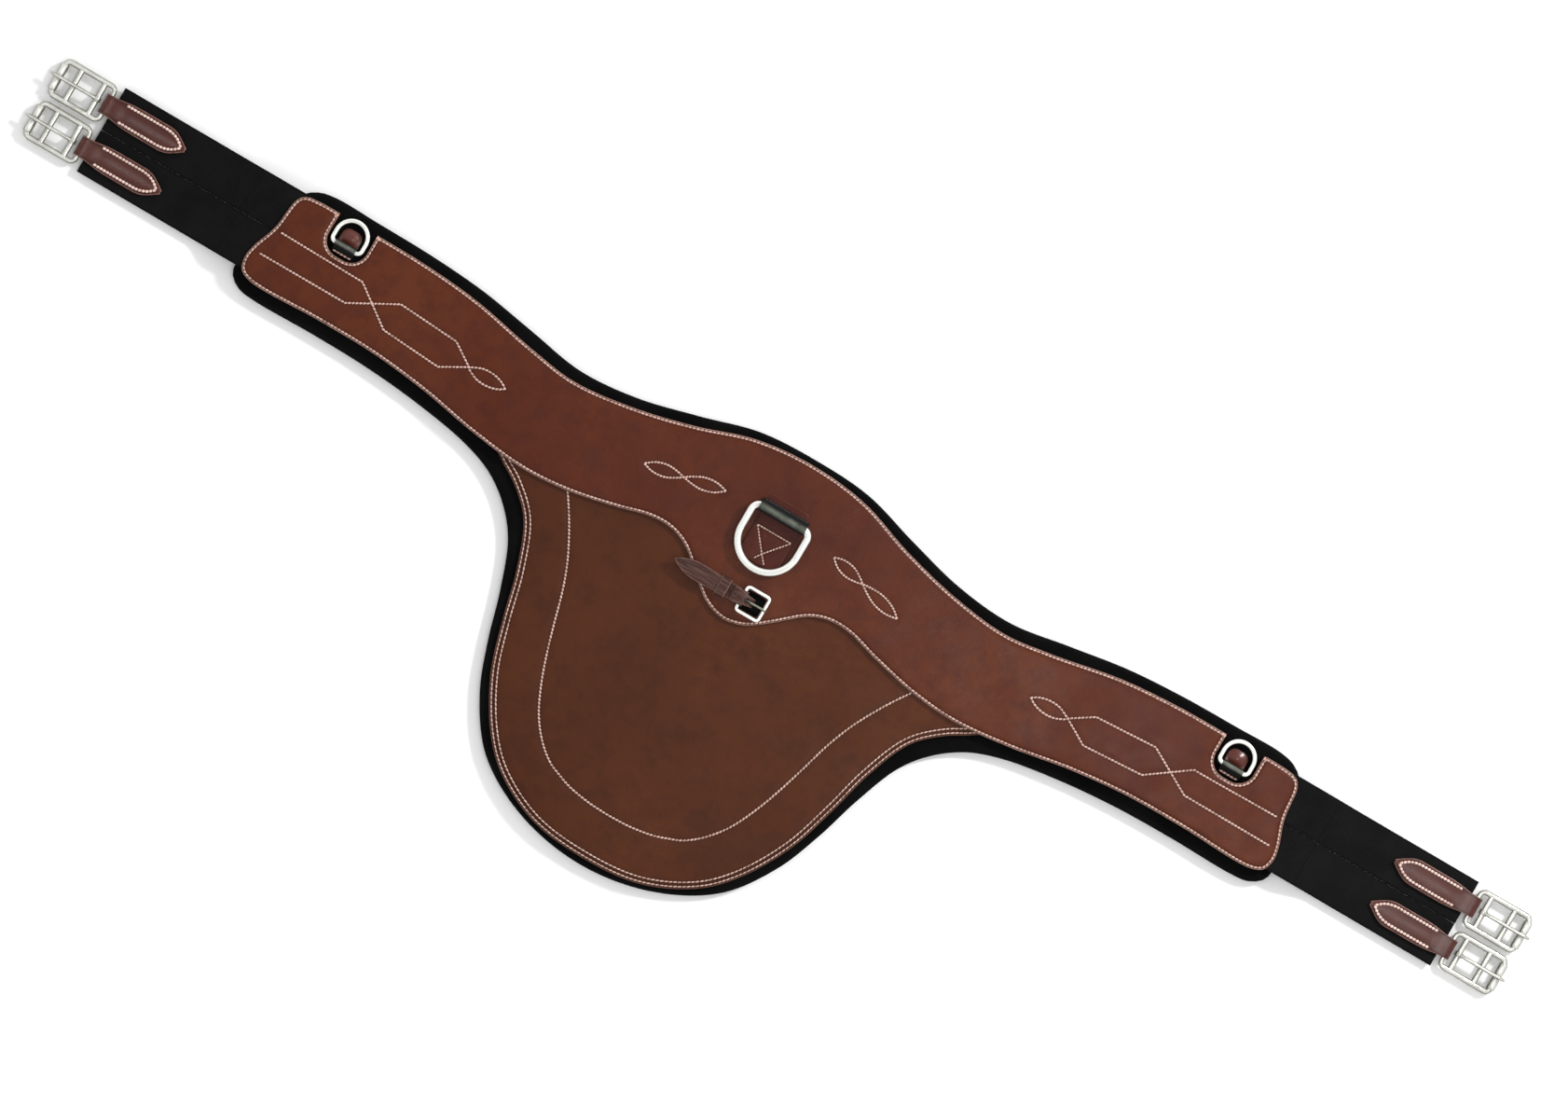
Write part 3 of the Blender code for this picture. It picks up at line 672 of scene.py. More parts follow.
def figure_eight(left, cross, right, bulge):
    """Two lines that leave one tip, cross once and meet at the other tip."""
    left, cross, right = Vector(left), Vector(cross), Vector(right)
    runs = []
    for turn in (1, -1):
        aside = [
            Vector((a.y - b.y, b.x - a.x)).normalized() * bulge * turn
            for a, b in ((left, cross), (cross, right))
        ]
        runs.append(smooth_run([
            left, left.lerp(cross, 0.25) + aside[0] * 0.8, left.lerp(cross, 0.55) + aside[0],
            left.lerp(cross, 0.85) + aside[0] * 0.45, cross,
            cross.lerp(right, 0.15) - aside[1] * 0.45, cross.lerp(right, 0.45) - aside[1],
            cross.lerp(right, 0.75) - aside[1] * 0.8, right,
        ], 1.5))
    return runs


strip_outline = smooth_outline(STRIP_HALF, 3.0)
for side in (1, -1):
    strip_outline = notched(strip_outline, side)
strip_rows = [inside_line(strip_outline, STRIP_ROW_IN)]
strip_rows[0].append(strip_rows[0][0])
arm_rows = []
for line, turn in zip(ARM_LINES, (1, -1)):
    leaf = [(x, ARM_AXIS + turn * (y - ARM_AXIS)) for x, y in ARM_LEAF]
    arm_rows.append(smooth_run(leaf, 2.0)[:-1] + [Vector(p) for p in line])
arm_rows += [mirrored(row) for row in arm_rows]
leaf_rows = []
for left, cross, right in LOBE_LEAVES:
    leaf_rows += figure_eight(left, cross, right, LEAF_BULGE)

strip = cut_panel(
    "girth_strip", strip_outline, LEATHER_LOW, STRIP_THICK - 1.25, STRIP_RIM, cells=2.6
)
strip_top = LEATHER_LOW + STRIP_THICK
for vertex in strip.data.vertices:
    under_side = vertex.co.z < (LEATHER_LOW + 0.1) * MM
    over_guard_edge = vertex.co.y < GUARD_UNDER_Y * MM and abs(vertex.co.x) < GUARD_UNDER_X * MM
    if under_side and over_guard_edge:
        vertex.co.z = (LEATHER_LOW + GUARD_THICK + 0.1) * MM
dress_panel(
    strip, strip_outline, arm_rows + leaf_rows + strip_rows, strip_top - 1.0, 0.35, 16, 0.6, 1.5
)
swell(strip, 70, 0.7)
girth_leather = leather_look(
    "girth_red_brown", (0.076, 0.0125, 0.0026), (0.100, 0.0205, 0.0046), (0.050, 0.0080, 0.0040),
    (0.42, 0.27, 0.22), 0.40, grain=1.0, gloss=0.21,
)
strip.data.materials.append(girth_leather)
smooth_shade(strip, 50)
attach(strip, "girth_body")
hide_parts("girth_leather")

for name, runs, pitch, width, slant in (
    ("strip_edge_thread", strip_rows, 3.3, 1.9, 6),
    ("strip_arm_thread", arm_rows, 3.0, 1.75, 12),
    ("strip_leaf_thread", leaf_rows, 2.6, 1.75, 12),
):
    thread = sew(name, runs, [strip], "girth_body", pitch, width, slant)
    thread.data.materials.append(pale_thread)


# ---------------------------------------------------------------- elastics
# Four straps of black ribbed elastic, sewn in between lining and leather, side by side at each
# end. Each is one strap, built in two parts that meet just beyond the bend: one on the body, and
# one that runs down to its buckle.
BEND_X = 488
STRAP_MIDDLE = -2.5
STRAP_PITCH = 39
ELASTIC_HALF = 19.4
ELASTIC_THICK = 2.0
ELASTIC_HIGH = 10.8
BAR_X = 636.5
BAR_Z = 4.1
SPLIT_X = 501
BEND_FROM, BEND_TO, STRETCH_TO = 484, 499, 562
INNER_STATIONS = [440, 452, 464, 474, 480, 483, 485, 487, 489, 491, 493, 495, 497, 499, SPLIT_X]
OUTER_STATIONS = [SPLIT_X + 3 * k for k in range(43)] + [BAR_X - 6]
ENDS = [
    (end + "_" + row, side, STRAP_MIDDLE + turn * STRAP_PITCH / 2)
    for end, side in (("left", -1), ("right", 1))
    for row, turn in (("front", 1), ("rear", -1))
]


def strap_spot(side, middle):
    """What turns a place along, across and above an end strap into a point of the girth."""
    return lambda x, v, z: (side * x, middle + side * v, z)


def on_all_of(piece, operator, **settings):
    """Runs an edit mode operator on the whole mesh of the piece."""
    only(piece)
    bpy.ops.object.mode_set(mode="EDIT")
    bpy.ops.mesh.select_all(action="SELECT")
    operator(**settings)
    bpy.ops.object.mode_set(mode="OBJECT")


def shaped_grid(name, columns, rows, place):
    """A grid with each corner put where place(column, row) says, joined where its edges meet."""
    only()
    bpy.ops.mesh.primitive_grid_add(x_subdivisions=columns, y_subdivisions=rows, size=2)
    piece = bpy.context.object
    piece.name = name
    for vertex in piece.data.vertices:
        i = round((vertex.co.x + 1) / 2 * columns)
        j = round((vertex.co.y + 1) / 2 * rows)
        vertex.co = Vector(place(i, j)) * MM
    on_all_of(piece, bpy.ops.mesh.remove_doubles, threshold=0.000005)
    return piece


def thicken(piece, thick, round_off=0.3):
    """Gives a sheet its thickness on both sides, and rounds its cut edges."""
    finish_with(piece, "SOLIDIFY", thickness=thick * MM, offset=0.0, use_even_offset=True)
    on_all_of(piece, bpy.ops.mesh.normals_make_consistent, inside=False)
    if round_off:
        finish_with(
            piece, "BEVEL", width=round_off * MM, segments=2, limit_method="ANGLE",
            angle_limit=math.radians(50),
        )
    smooth_shade(piece, 45)


def strap(name, path, halves, thick, spot, across=8, round_off=0.3, rows=(), crowns=None):
    """A flat strap that follows a side path, given as (u, z) points with a half width at each."""
    def place(i, j):
        share = 2 * j / across - 1
        crown = crowns[i] * (1 - share * share) if crowns else 0.0
        return spot(path[i][0], share * halves[i], path[i][1] + crown)

    piece = shaped_grid(name, len(path) - 1, across, place)
    edge = piece.data.attributes.new("edge_mm", "FLOAT", "POINT")
    thread = piece.data.attributes.new("thread_mm", "FLOAT", "POINT")
    columns = [Vector(spot(u, 0, z)) for u, z in path]
    for vertex in piece.data.vertices:
        at = vertex.co / MM
        i = min(range(len(columns)), key=lambda k: (columns[k] - at).length)
        aside = (columns[i] - at).length
        edge.data[vertex.index].value = max(0.0, halves[i] - aside)
        thread.data[vertex.index].value = min([abs(aside - r) for r in rows] + [9.0])
    thicken(piece, thick, round_off)
    return piece


def elastic_drop(x):
    """Height of an elastic's middle as it comes down from the body to its buckle."""
    share = min(1.0, max(0.0, (x - BEND_X - 2) / 32))
    return ELASTIC_HIGH - (ELASTIC_HIGH - BAR_Z) * share * share * (3 - 2 * share)


def elastic_material():
    """Black elastic webbing: cords along it, finer ribs across, and darker woven edges."""
    made, nodes, links, shader = new_material("black_elastic")
    place = nodes.new("ShaderNodeTexCoord").outputs["Object"]
    dust = noise(nodes, links, place, 40, 4.0, 0.6)
    grey = two_tone(nodes, links, dust, (0.0022, 0.0022, 0.0022), (0.0045, 0.0045, 0.0044))
    middle_part = ranged(nodes, links, stored(nodes, "edge_mm"), 1.2, 2.4, 0.0, 1.0)
    colour = mixed(nodes, links, middle_part, (0.002, 0.002, 0.002), grey)
    links.new(colour, shader.inputs["Base Color"])
    shader.inputs["Roughness"].default_value = 0.62
    shader.inputs["Specular IOR Level"].default_value = 0.08
    bump_chain(nodes, links, shader, [
        (ribs(nodes, links, place, "Y", 1.5, 0.2), 0.8, 0.35),
        (ribs(nodes, links, place, "X", 0.9, 0.3), 0.5, 0.15),
        (noise(nodes, links, place, 900), 0.3, 0.08),
    ])
    return made


elastic_look = elastic_material()
for tag, side, middle in ENDS:
    on_strap = strap_spot(side, middle)
    for part, xs in (("body_elastic", INNER_STATIONS), ("end_elastic", OUTER_STATIONS)):
        path = [(x, elastic_drop(x)) for x in xs]
        piece = strap(
            tag + "_" + part, path, [ELASTIC_HALF] * len(path), ELASTIC_THICK, on_strap, 12
        )
        piece.data.materials.append(elastic_look)
        if part == "body_elastic":
            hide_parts(tag + "_elastic_tail")
            start, end = (on_strap(x, 0, ELASTIC_HIGH) for x in (BEND_FROM, BEND_TO))
            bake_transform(piece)
        else:
            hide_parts(tag + "_elastic")
            start, end = (on_strap(x, 0, BAR_Z) for x in (SPLIT_X + 1, STRETCH_TO))
            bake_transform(piece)


# ---------------------------------------------------------------- buckle chapes
# A pointed strip of the same brown leather is folded round each buckle's bar and sewn through the
# end of the elastic, with two rows of pale thread that meet at its point.
CHAPE_THICK = 1.7
CHAPE_SPREAD = 2.15
CHAPE_FAR = 3.05
CHAPE_LOOP_HALF = 8.6
CHAPE_CROWN = 0.8
CHAPE_GROOVE = 7.7
CHAPE_PLAN = [
    (563.5, 1.0), (564.6, 2.0), (566, 3.1), (567.5, 4.3), (570, 6.0), (572.5, 7.7), (575, 9.0),
    (577.5, 9.9), (580, 10.5), (582.5, 10.8), (588, 10.8), (594, 10.8), (600, 10.8),
    (606, 10.8), (612, 10.7), (618, 10.3), (624, 9.5), (629, 8.8), (633, 8.6),
]
CHAPE_ROW = [
    (621.5, 7.6), (610, 7.7), (590, 7.7), (583, 7.6), (577.5, 6.6), (572.5, 4.4), (569, 1.6),
    (567.3, 0.2),
]


def chape_height(x):
    """How far the plies stand off the bar's height, spreading a little as they reach the bar."""
    share = min(1.0, max(0.0, (x - 624) / 9))
    return CHAPE_SPREAD + (CHAPE_FAR - CHAPE_SPREAD) * share * share * (3 - 2 * share)


chape_leather = leather_look(
    "chape_brown", (0.062, 0.0105, 0.0055), (0.080, 0.0160, 0.0080), (0.044, 0.0085, 0.0055),
    (0.24, 0.12, 0.095), 0.34, grain=1.0, gloss=0.25, wax=0.4,
)
bright_thread = thread_look("bright_thread", (0.84, 0.64, 0.57), (0.52, 0.33, 0.27))
for tag, side, middle in ENDS:
    on_strap = strap_spot(side, middle)
    loop = [
        (BAR_X + CHAPE_FAR * math.sin(a), BAR_Z + CHAPE_FAR * math.cos(a))
        for a in (math.radians(15 * k) for k in range(13))
    ]
    over = [(x, BAR_Z + chape_height(x)) for x, _ in CHAPE_PLAN]
    under = [(x, 2 * BAR_Z - z) for x, z in reversed(over)]
    crowns = [CHAPE_CROWN * min(1.0, (CHAPE_PLAN[-1][0] - x) / 20) for x, _ in over]
    crowns += [0.0] * (len(loop) + len(under))
    halves = [half for _, half in CHAPE_PLAN]
    halves = halves + [CHAPE_LOOP_HALF] * len(loop) + halves[::-1]
    chape = strap(
        tag + "_buckle_chape", over + loop + under, halves, CHAPE_THICK, on_strap, 10,
        rows=(CHAPE_GROOVE,), crowns=crowns,
    )
    chape.data.materials.append(chape_leather)
    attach(chape, tag + "_strap_end")
    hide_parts(tag + "_chape")
    rows = [
        [Vector(on_strap(x, v * turn, 0)[:2]) for x, v in smooth_run(CHAPE_ROW, 1.5)]
        for turn in (1, -1)
    ]
    thread = sew(tag + "_chape_thread", rows, [chape], tag + "_strap_end", 3.0, 2.3, 8)
    thread.data.materials.append(bright_thread)


# ---------------------------------------------------------------- roller buckles
# Four roller buckles of nickel-plated steel. Each has a bent wire frame with two bars across it,
# a tongue hooked round one bar, and a waisted roller that turns on the far side of the frame.
FRAME_HALF = 15.1
FRAME_LENGTH = 45
FRAME_CORNER = 4
BAR_RADIUS = 1.9
TONGUE_BAR_X = 646.0
CROSS_BAR_X = 667.5
INNER_BAR_RADIUS = 1.75
FRAME_SPREAD = 1.3
ROLLER_X = BAR_X + FRAME_LENGTH
TONGUE_SHAFT = [
    (647, 7.1, 1.15), (649, 7.7, 1.35), (653, 8.3, 1.5), (660, 8.45, 1.5), (667.5, 8.5, 1.5),
    (673, 8.95, 1.5), (678.5, 9.25, 1.5), (682.5, 9.3, 1.42), (686, 8.7, 1.15),
    (687.4, 8.1, 0.75),
]
TONGUE_HOOK = [(-2.0, 1.95), (-2.0, 2.9), (-1.6, 3.3), (1.6, 3.3), (2.0, 2.9), (2.0, 1.95)]
ROLLER_PROFILE = [
    (-11.8, 2.3), (-11.8, 3.0), (-11.6, 3.25), (-11.2, 3.4), (-8, 3.4), (-4, 3.38),
    (-2.2, 3.28), (-1.0, 3.02), (0, 2.92), (1.0, 3.02), (2.2, 3.28), (4, 3.38), (8, 3.4),
    (11.2, 3.4), (11.6, 3.25), (11.8, 3.0), (11.8, 2.3),
]
# How much higher up their sides the painted shade reaches on frame, roller and tongue.
FRAME_SHADE, ROLLER_SHADE, TONGUE_SHADE = 0.42, 0.34, 0.4


def arc(centre, radius, start, end, steps):
    """Points on a circle, in degrees from its first axis."""
    return [
        (centre[0] + radius * math.cos(a), centre[1] + radius * math.sin(a))
        for a in (math.radians(start + (end - start) * k / steps) for k in range(steps + 1))
    ]


def frame_plan(near, far, half, corner, steps):
    """A buckle frame seen from above, from its near bar to its far one, with round corners."""
    near, far, inside = near + corner, far - corner, half - corner
    plan = arc((far, inside), corner, 90, 0, steps) + arc((far, -inside), corner, 0, -90, steps)
    plan += arc((near, -inside), corner, -90, -180, steps)
    return plan + arc((near, inside), corner, 180, 90, steps)


def wire(name, path, radius, closed=False, detail=7):
    """Round metal wire bent along a path, with one radius or one for each point."""
    curve = bpy.data.curves.new(name, "CURVE")
    curve.dimensions = "3D"
    curve.bevel_depth = MM
    curve.bevel_resolution = detail
    curve.use_fill_caps = not closed
    spline = curve.splines.new("POLY")
    spline.points.add(len(path) - 1)
    radii = radius if isinstance(radius, list) else [radius] * len(path)
    for point, place, size in zip(spline.points, path, radii):
        point.co = (*(Vector(place) * MM), 1)
        point.radius = size
    spline.use_cyclic_u = closed
    piece = bpy.data.objects.new(name, curve)
    bpy.context.scene.collection.objects.link(piece)
    only(piece)
    bpy.ops.object.convert(target="MESH")
    return bpy.context.object


def sleeve(name, centre, profile, axis, turns=28):
    """A turned shape: a closed profile of (along, radius) spun round an axis at the centre."""
    side, up = [(1, 2), (2, 0), (0, 1)][axis]

    def place(i, j):
        along, radius = profile[i % len(profile)]
        a = math.tau * j / turns
        spot = list(centre)
        spot[axis] += along
        spot[side] += radius * math.cos(a)
        spot[up] += radius * math.sin(a)
        return spot

    piece = shaped_grid(name, len(profile), turns, place)
    on_all_of(piece, bpy.ops.mesh.normals_make_consistent, inside=False)
    return piece


def joined(name, pieces):
    """Several shapes as one piece."""
    only(*pieces)
    bpy.ops.object.join()
    piece = bpy.context.object
    piece.name = name
    smooth_shade(piece, 45)
    return piece


def steel_material():
    """Bright nickel-plated steel, with painted shade: dark olive on the sides that face away from
    straight up, bright on top.
    """
    made, nodes, links, shader = new_material("polished_steel")
    place = nodes.new("ShaderNodeTexCoord").outputs["Object"]
    cloud = noise(nodes, links, place, 90, 4.0, 0.6)
    uneven = nodes.new("ShaderNodeMath")
    uneven.operation = "MULTIPLY_ADD"
    uneven.inputs[1].default_value = 0.35
    links.new(cloud, uneven.inputs[0])
    links.new(stored(nodes, "up_share"), uneven.inputs[2])
    # Painted shade: the colour goes from dark olive to bright with how far the surface faces up.
    tone = two_tone(
        nodes, links, uneven.outputs[0], (0.13, 0.13, 0.09), (0.93, 0.93, 0.88), 0.38, 0.88
    )
    links.new(tone, shader.inputs["Base Color"])
    shader.inputs["Metallic"].default_value = 0.45
    shader.inputs["Roughness"].default_value = 0.2
    bump_chain(nodes, links, shader, [(noise(nodes, links, place, 300, 3.0, 0.5), 0.2, 0.03)])
    return made


def plate(piece, dull=0.0):
    """Gives a piece its steel, and stores how far each point faces up, less the dull amount, which
    deepens the painted shade on its sides.
    """
    up_share = piece.data.attributes.new("up_share", "FLOAT", "POINT")
    for vertex in piece.data.vertices:
        up_share.data[vertex.index].value = abs(vertex.normal.z) - dull
    piece.data.materials.append(steel)


def pressed(piece, path, round_until=0.0):
    """Presses a flat-lying wire wider than it is high, but leaves it round near the chape."""
    line = near_lines([[Vector(p[:2]) for p in path]])
    for vertex in piece.data.vertices:
        x, y = vertex.co.x / MM, vertex.co.y / MM
        at = line.find((x, y, 0))[0]
        share = min(1.0, max(0.0, (abs(x) - round_until) / 5))
        spread = 1 + (FRAME_SPREAD - 1) * share
        vertex.co.x = (at.x + (x - at.x) * spread) * MM
        vertex.co.y = (at.y + (y - at.y) * spread) * MM
    return piece


steel = steel_material()
for tag, side, middle in ENDS:
    def out(x, v, z=BAR_Z, side=side, middle=middle):
        return side * x, middle + v, z

    path = [out(*p) for p in frame_plan(BAR_X, ROLLER_X, FRAME_HALF, FRAME_CORNER, 8)]
    frame_wire = wire(tag + "_frame_wire", path, BAR_RADIUS, closed=True)
    bars = [pressed(frame_wire, path + path[:1], BAR_X + 1)]
    for x in (TONGUE_BAR_X, CROSS_BAR_X):
        ends = [out(x, v) for v in (-FRAME_HALF, FRAME_HALF)]
        bars.append(pressed(wire(tag + "_bar", ends, INNER_BAR_RADIUS), ends))
    frame_piece = joined(tag + "_roller_buckle", bars)
    plate(frame_piece, FRAME_SHADE)
    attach(frame_piece, tag + "_buckle")
    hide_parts(tag + "_buckle_frame")

    roller = sleeve(tag + "_buckle_roller", out(ROLLER_X, 0), ROLLER_PROFILE, 1, 32)
    smooth_shade(roller, 35)
    plate(roller, ROLLER_SHADE)
    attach(roller, tag + "_roller_tube")
    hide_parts(tag + "_roller")

    eye = sleeve(tag + "_eye", out(TONGUE_BAR_X, 0), TONGUE_HOOK, 1, 24)
    shaft = wire(
        tag + "_shaft", [out(x, 0, z) for x, z, _ in TONGUE_SHAFT],
        [radius for _, _, radius in TONGUE_SHAFT],
    )
    tongue = joined(tag + "_tongue", [eye, shaft])
    plate(tongue, TONGUE_SHADE)
    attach(tongue, tag + "_pin")
    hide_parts(tag + "_buckle_tongue")


# ---------------------------------------------------------------- side rings
# The floor of each notch is black lining cloth, with a small domed leather tab sewn on it. A short
# D-ring of steel wire is held there by a dark band folded round its straight side.
FLOOR_THICK = 1.2
FLOOR_SIDE_Y = (35.4, 30, 24)
FLOOR_GAP = 0.3
TAB_HALF = 9.0
TAB_THICK = 0.9
TAB_DOME = 2.6
TAB_ROW_HALF, TAB_ROW_Y = 8.2, 8.6
TACK_HALF, TACK_ASIDE, TACK_Y = 1.6, 1.7, (34.6, 33.6)
SIDE_RING_Y = 15
SIDE_RING_Z = 14.0
SIDE_WRAP = {"half": 9.2, "radius": 2.75, "thick": 1.2, "foot": 4.0}
SIDE_RING = {"half": 13.2, "straight": 9.5, "wire_radius": 1.8, "tilt": -3.0}


def rounded_plan(middle, half, top, foot):
    """A panel's plan with round corners. Top and foot are their corners' y, radius and steps."""
    (high, top_round, top_steps), (low, foot_round, foot_steps) = top, foot
    left, right = middle - half, middle + half
    plan = arc((right - top_round, high), top_round, 0, 90, top_steps)
    plan += arc((left + top_round, high), top_round, 90, 180, top_steps)
    plan += arc((left + foot_round, low), foot_round, 180, 270, foot_steps)
    return plan + arc((right - foot_round, low), foot_round, 270, 360, foot_steps)


def d_ring(name, centre, towards, half, straight, wire_radius, tilt):
    """A D-ring: a straight side on the centre, and two sides that end in a half circle."""
    corner = wire_radius * 2.2
    plan = arc((half - corner, corner), corner, -90, 0, 8)
    plan += arc((0, straight), half, 0, 180, 36)
    plan += arc((-half + corner, corner), corner, 180, 270, 8)
    slope = math.radians(tilt)
    path = [
        (centre[0] + x, centre[1] + towards * y * math.cos(slope), centre[2] + y * math.sin(slope))
        for x, y in plan
    ]
    ring = wire(name, path, wire_radius, closed=True, detail=8)
    smooth_shade(ring, 60)
    # The ring's steel gets painted shade on the sides that face away from straight up.
    plate(ring)
    return ring


def ring_wrap(name, centre, towards, half, radius, thick, foot, base):
    """Tape folded round a ring's straight side, both ends laid together on the foot side."""
    low = base + thick / 2 + 0.05 - centre[2]
    loop = [
        (radius * math.cos(a), radius * math.sin(a))
        for a in (math.radians(d) for d in range(-90, 151, 12))
    ]
    upper = low + thick * 0.92
    path = [(-foot * share, low) for share in (1, 0.75, 0.5)]
    path.append((-foot * 0.25, min(low, -radius)))
    path += loop
    path += [(-radius - 0.9, upper + 0.5), (-radius - 1.9, upper + 0.05), (-foot, upper)]
    wrap = strap(
        name, path, [half] * len(path), thick,
        lambda u, v, z: (centre[0] + v, centre[1] + towards * u, centre[2] + z), 24, 0.25,
    )
    # How far each point lies along the crest of the fold; the tape's painted sheen follows it.
    top_share = wrap.data.attributes.new("top_share", "FLOAT", "POINT")
    for vertex in wrap.data.vertices:
        rise = (vertex.co.z / MM - centre[2]) / (radius + thick / 2)
        ahead = abs(vertex.co.y / MM - centre[1] - towards * 0.8) / radius
        share = max(0.0, rise) ** 2 * max(0.0, 1.0 - ahead ** 2)
        top_share.data[vertex.index].value = share
    wrap.data.materials.append(tape_look)
    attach(wrap, "girth_body")
    return wrap


def band_material():
    """Dark glazed tape: nearly black, with a painted greenish grey sheen along its top, where it
    is also glossier.
    """
    made, nodes, links, shader = new_material("dark_band")
    place = nodes.new("ShaderNodeTexCoord").outputs["Object"]
    # Painted sheen: greenish grey along the top of the fold, which is also made glossier there.
    top_gloss_and_painted_sheen = stored(nodes, "top_share")
    painted_sheen = multiplied(nodes, links, top_gloss_and_painted_sheen, noise(nodes, links, place, 110, 4.0, 0.6))
    tone = two_tone(
        nodes, links, painted_sheen, (0.003, 0.0032, 0.003), (0.14, 0.15, 0.12), 0.10, 0.62
    )
    links.new(tone, shader.inputs["Base Color"])
    dull = ranged(nodes, links, top_gloss_and_painted_sheen, 0.0, 0.5, 0.8, 0.3)
    links.new(dull, shader.inputs["Roughness"])
    shader.inputs["Specular IOR Level"].default_value = 0.2
    bump_chain(nodes, links, shader, [
        (ribs(nodes, links, place, "X", 1.1, 0.4), 0.35, 0.12),
        (noise(nodes, links, place, 600), 0.3, 0.08),
    ])
    return made


tape_look = band_material()
tab_leather = leather_look(
    "tab_brown", (0.090, 0.0165, 0.0105), (0.120, 0.0300, 0.0190), (0.060, 0.0110, 0.0080),
    (0.03, 0.010, 0.008), 0.30, grain=0.8, gloss=0.35, wax=0.25,
)
floor_top = LEATHER_LOW + FLOOR_THICK
for end, side in (("left", -1), ("right", 1)):
    half = NOTCH_HALF - FLOOR_GAP
    corner = NOTCH_CORNER - FLOOR_GAP
    plan = [(half, y) for y in FLOOR_SIDE_Y]
    plan += [
        (half - corner * (1 - math.cos(a)), NOTCH_BOTTOM + FLOOR_GAP + corner * (1 - math.sin(a)))
        for a in (math.radians(10 * k) for k in range(10))
    ]
    plan += [(-x, y) for x, y in reversed(plan)]
    outline = [Vector((side * NOTCH_X + x, y)) for x, y in plan]
    notch_floor = cut_panel(
        end + "_notch_floor", outline, LEATHER_LOW, FLOOR_THICK - 0.3,
        [(0.3, 0.2), (0.5, 0.1)], 4.0,
    )
    swell(notch_floor, 9, 0.3)
    smooth_shade(notch_floor, 45)
    notch_floor.data.materials.append(black_cloth)
    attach(notch_floor, "girth_body")

    plan = rounded_plan(0, TAB_HALF, (24, 6.5, 8), (9.8, 2.5, 5))
    outline = [Vector((side * NOTCH_X + x, y)) for x, y in plan]
    sewn = [Vector((side * NOTCH_X + x, TAB_ROW_Y)) for x in (-TAB_ROW_HALF, TAB_ROW_HALF)]
    tab = cut_panel(
        end + "_notch_tab", outline, floor_top - 0.2, TAB_THICK - 0.3,
        [(0.3, 0.4), (0.4, 0.1)], 1.2,
    )
    tab_top = floor_top + TAB_THICK - 0.5
    dress_panel(tab, outline, [sewn], tab_top, 0.0, 5, 0.3, 0.9)
    for vertex in tab.data.vertices:
        across = (vertex.co.x / MM - side * NOTCH_X) / 8
        along = (vertex.co.y / MM - 23.5) / 7
        aside = across ** 2 + along ** 2
        if vertex.co.z > tab_top * MM and aside < 1:
            vertex.co.z += TAB_DOME * (1 - aside) ** 1.5 * MM
    smooth_shade(tab, 45)
    tab.data.materials.append(tab_leather)
    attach(tab, "girth_body")
    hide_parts(end + "_ring_tab")

    centre = (side * NOTCH_X, SIDE_RING_Y, SIDE_RING_Z)
    wrap = ring_wrap(end + "_ring_wrap", centre, 1, base=floor_top + TAB_THICK, **SIDE_WRAP)
    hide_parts(end + "_ring_loop")
    ring = d_ring(end + "_side_ring", centre, 1, **SIDE_RING)
    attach(ring, end + "_ring_body")
    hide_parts(end + "_ring")
    tacks = [
        [
            Vector((side * NOTCH_X + x - TACK_HALF, TACK_Y[0])),
            Vector((side * NOTCH_X + x + TACK_HALF, TACK_Y[1])),
        ]
        for x in (-NOTCH_HALF - TACK_ASIDE, NOTCH_HALF + TACK_ASIDE)
    ]
    for part, runs, pitch, width in (("tab", [sewn], 3.3, 1.6), ("tack", tacks, 1.8, 3.0)):
        name = end + "_" + part + "_thread"
        thread = sew(name, runs, [tab, wrap, strip], "girth_body", pitch, width, 6)
        thread.data.materials.append(pale_thread)


# ---------------------------------------------------------------- centre ring
# A leather patch on the middle of the girth carries the big D-ring, whose straight side is wrapped
# in the same dark tape. A triangle of pale thread holds the patch below the ring.
PATCH_THICK = 1.6
PATCH_HALF = 18
CENTRE_AT = (0, 6, 21.9)
CENTRE_WRAP = {"half": 21, "radius": 4.1, "thick": 1.6, "foot": 6.5}
CENTRE_RING = {"half": 25.5, "straight": 22, "wire_radius": 3.0, "tilt": -4.5}
WRAP_ROW = [(-19.5, 11.6), (19.5, 11.6)]
PATCH_ROWS = [
    [(-15, -9), (16, -9)],
    [(-15, -9), (0, -28), (6, -35)],
    [(16, -9), (0, -28), (-4, -34)],
]

on_strip = LEATHER_LOW + STRIP_THICK + 0.3
patch_outline = [Vector(p) for p in rounded_plan(0, PATCH_HALF, (15, 3, 6), (-32, 5, 8))]
patch_rows = [[Vector(p) for p in run] for run in PATCH_ROWS]
patch = cut_panel(
    "centre_patch", patch_outline, on_strip - 0.6, PATCH_THICK + 0.1, [(0.3, 0.4), (0.5, 0.1)], 1.6
)
dress_panel(patch, patch_outline, patch_rows, on_strip + PATCH_THICK - 0.8, 0.15, 6, 0.35, 1.1)
smooth_shade(patch, 45)
patch_leather = leather_look(
    "patch_brown", (0.060, 0.0095, 0.0050), (0.076, 0.0140, 0.0062), (0.040, 0.0068, 0.0046),
    (0.08, 0.025, 0.019), 0.40, grain=1.0, gloss=0.18,
)
patch.data.materials.append(patch_leather)
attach(patch, "girth_body")
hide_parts("centre_ring_patch")

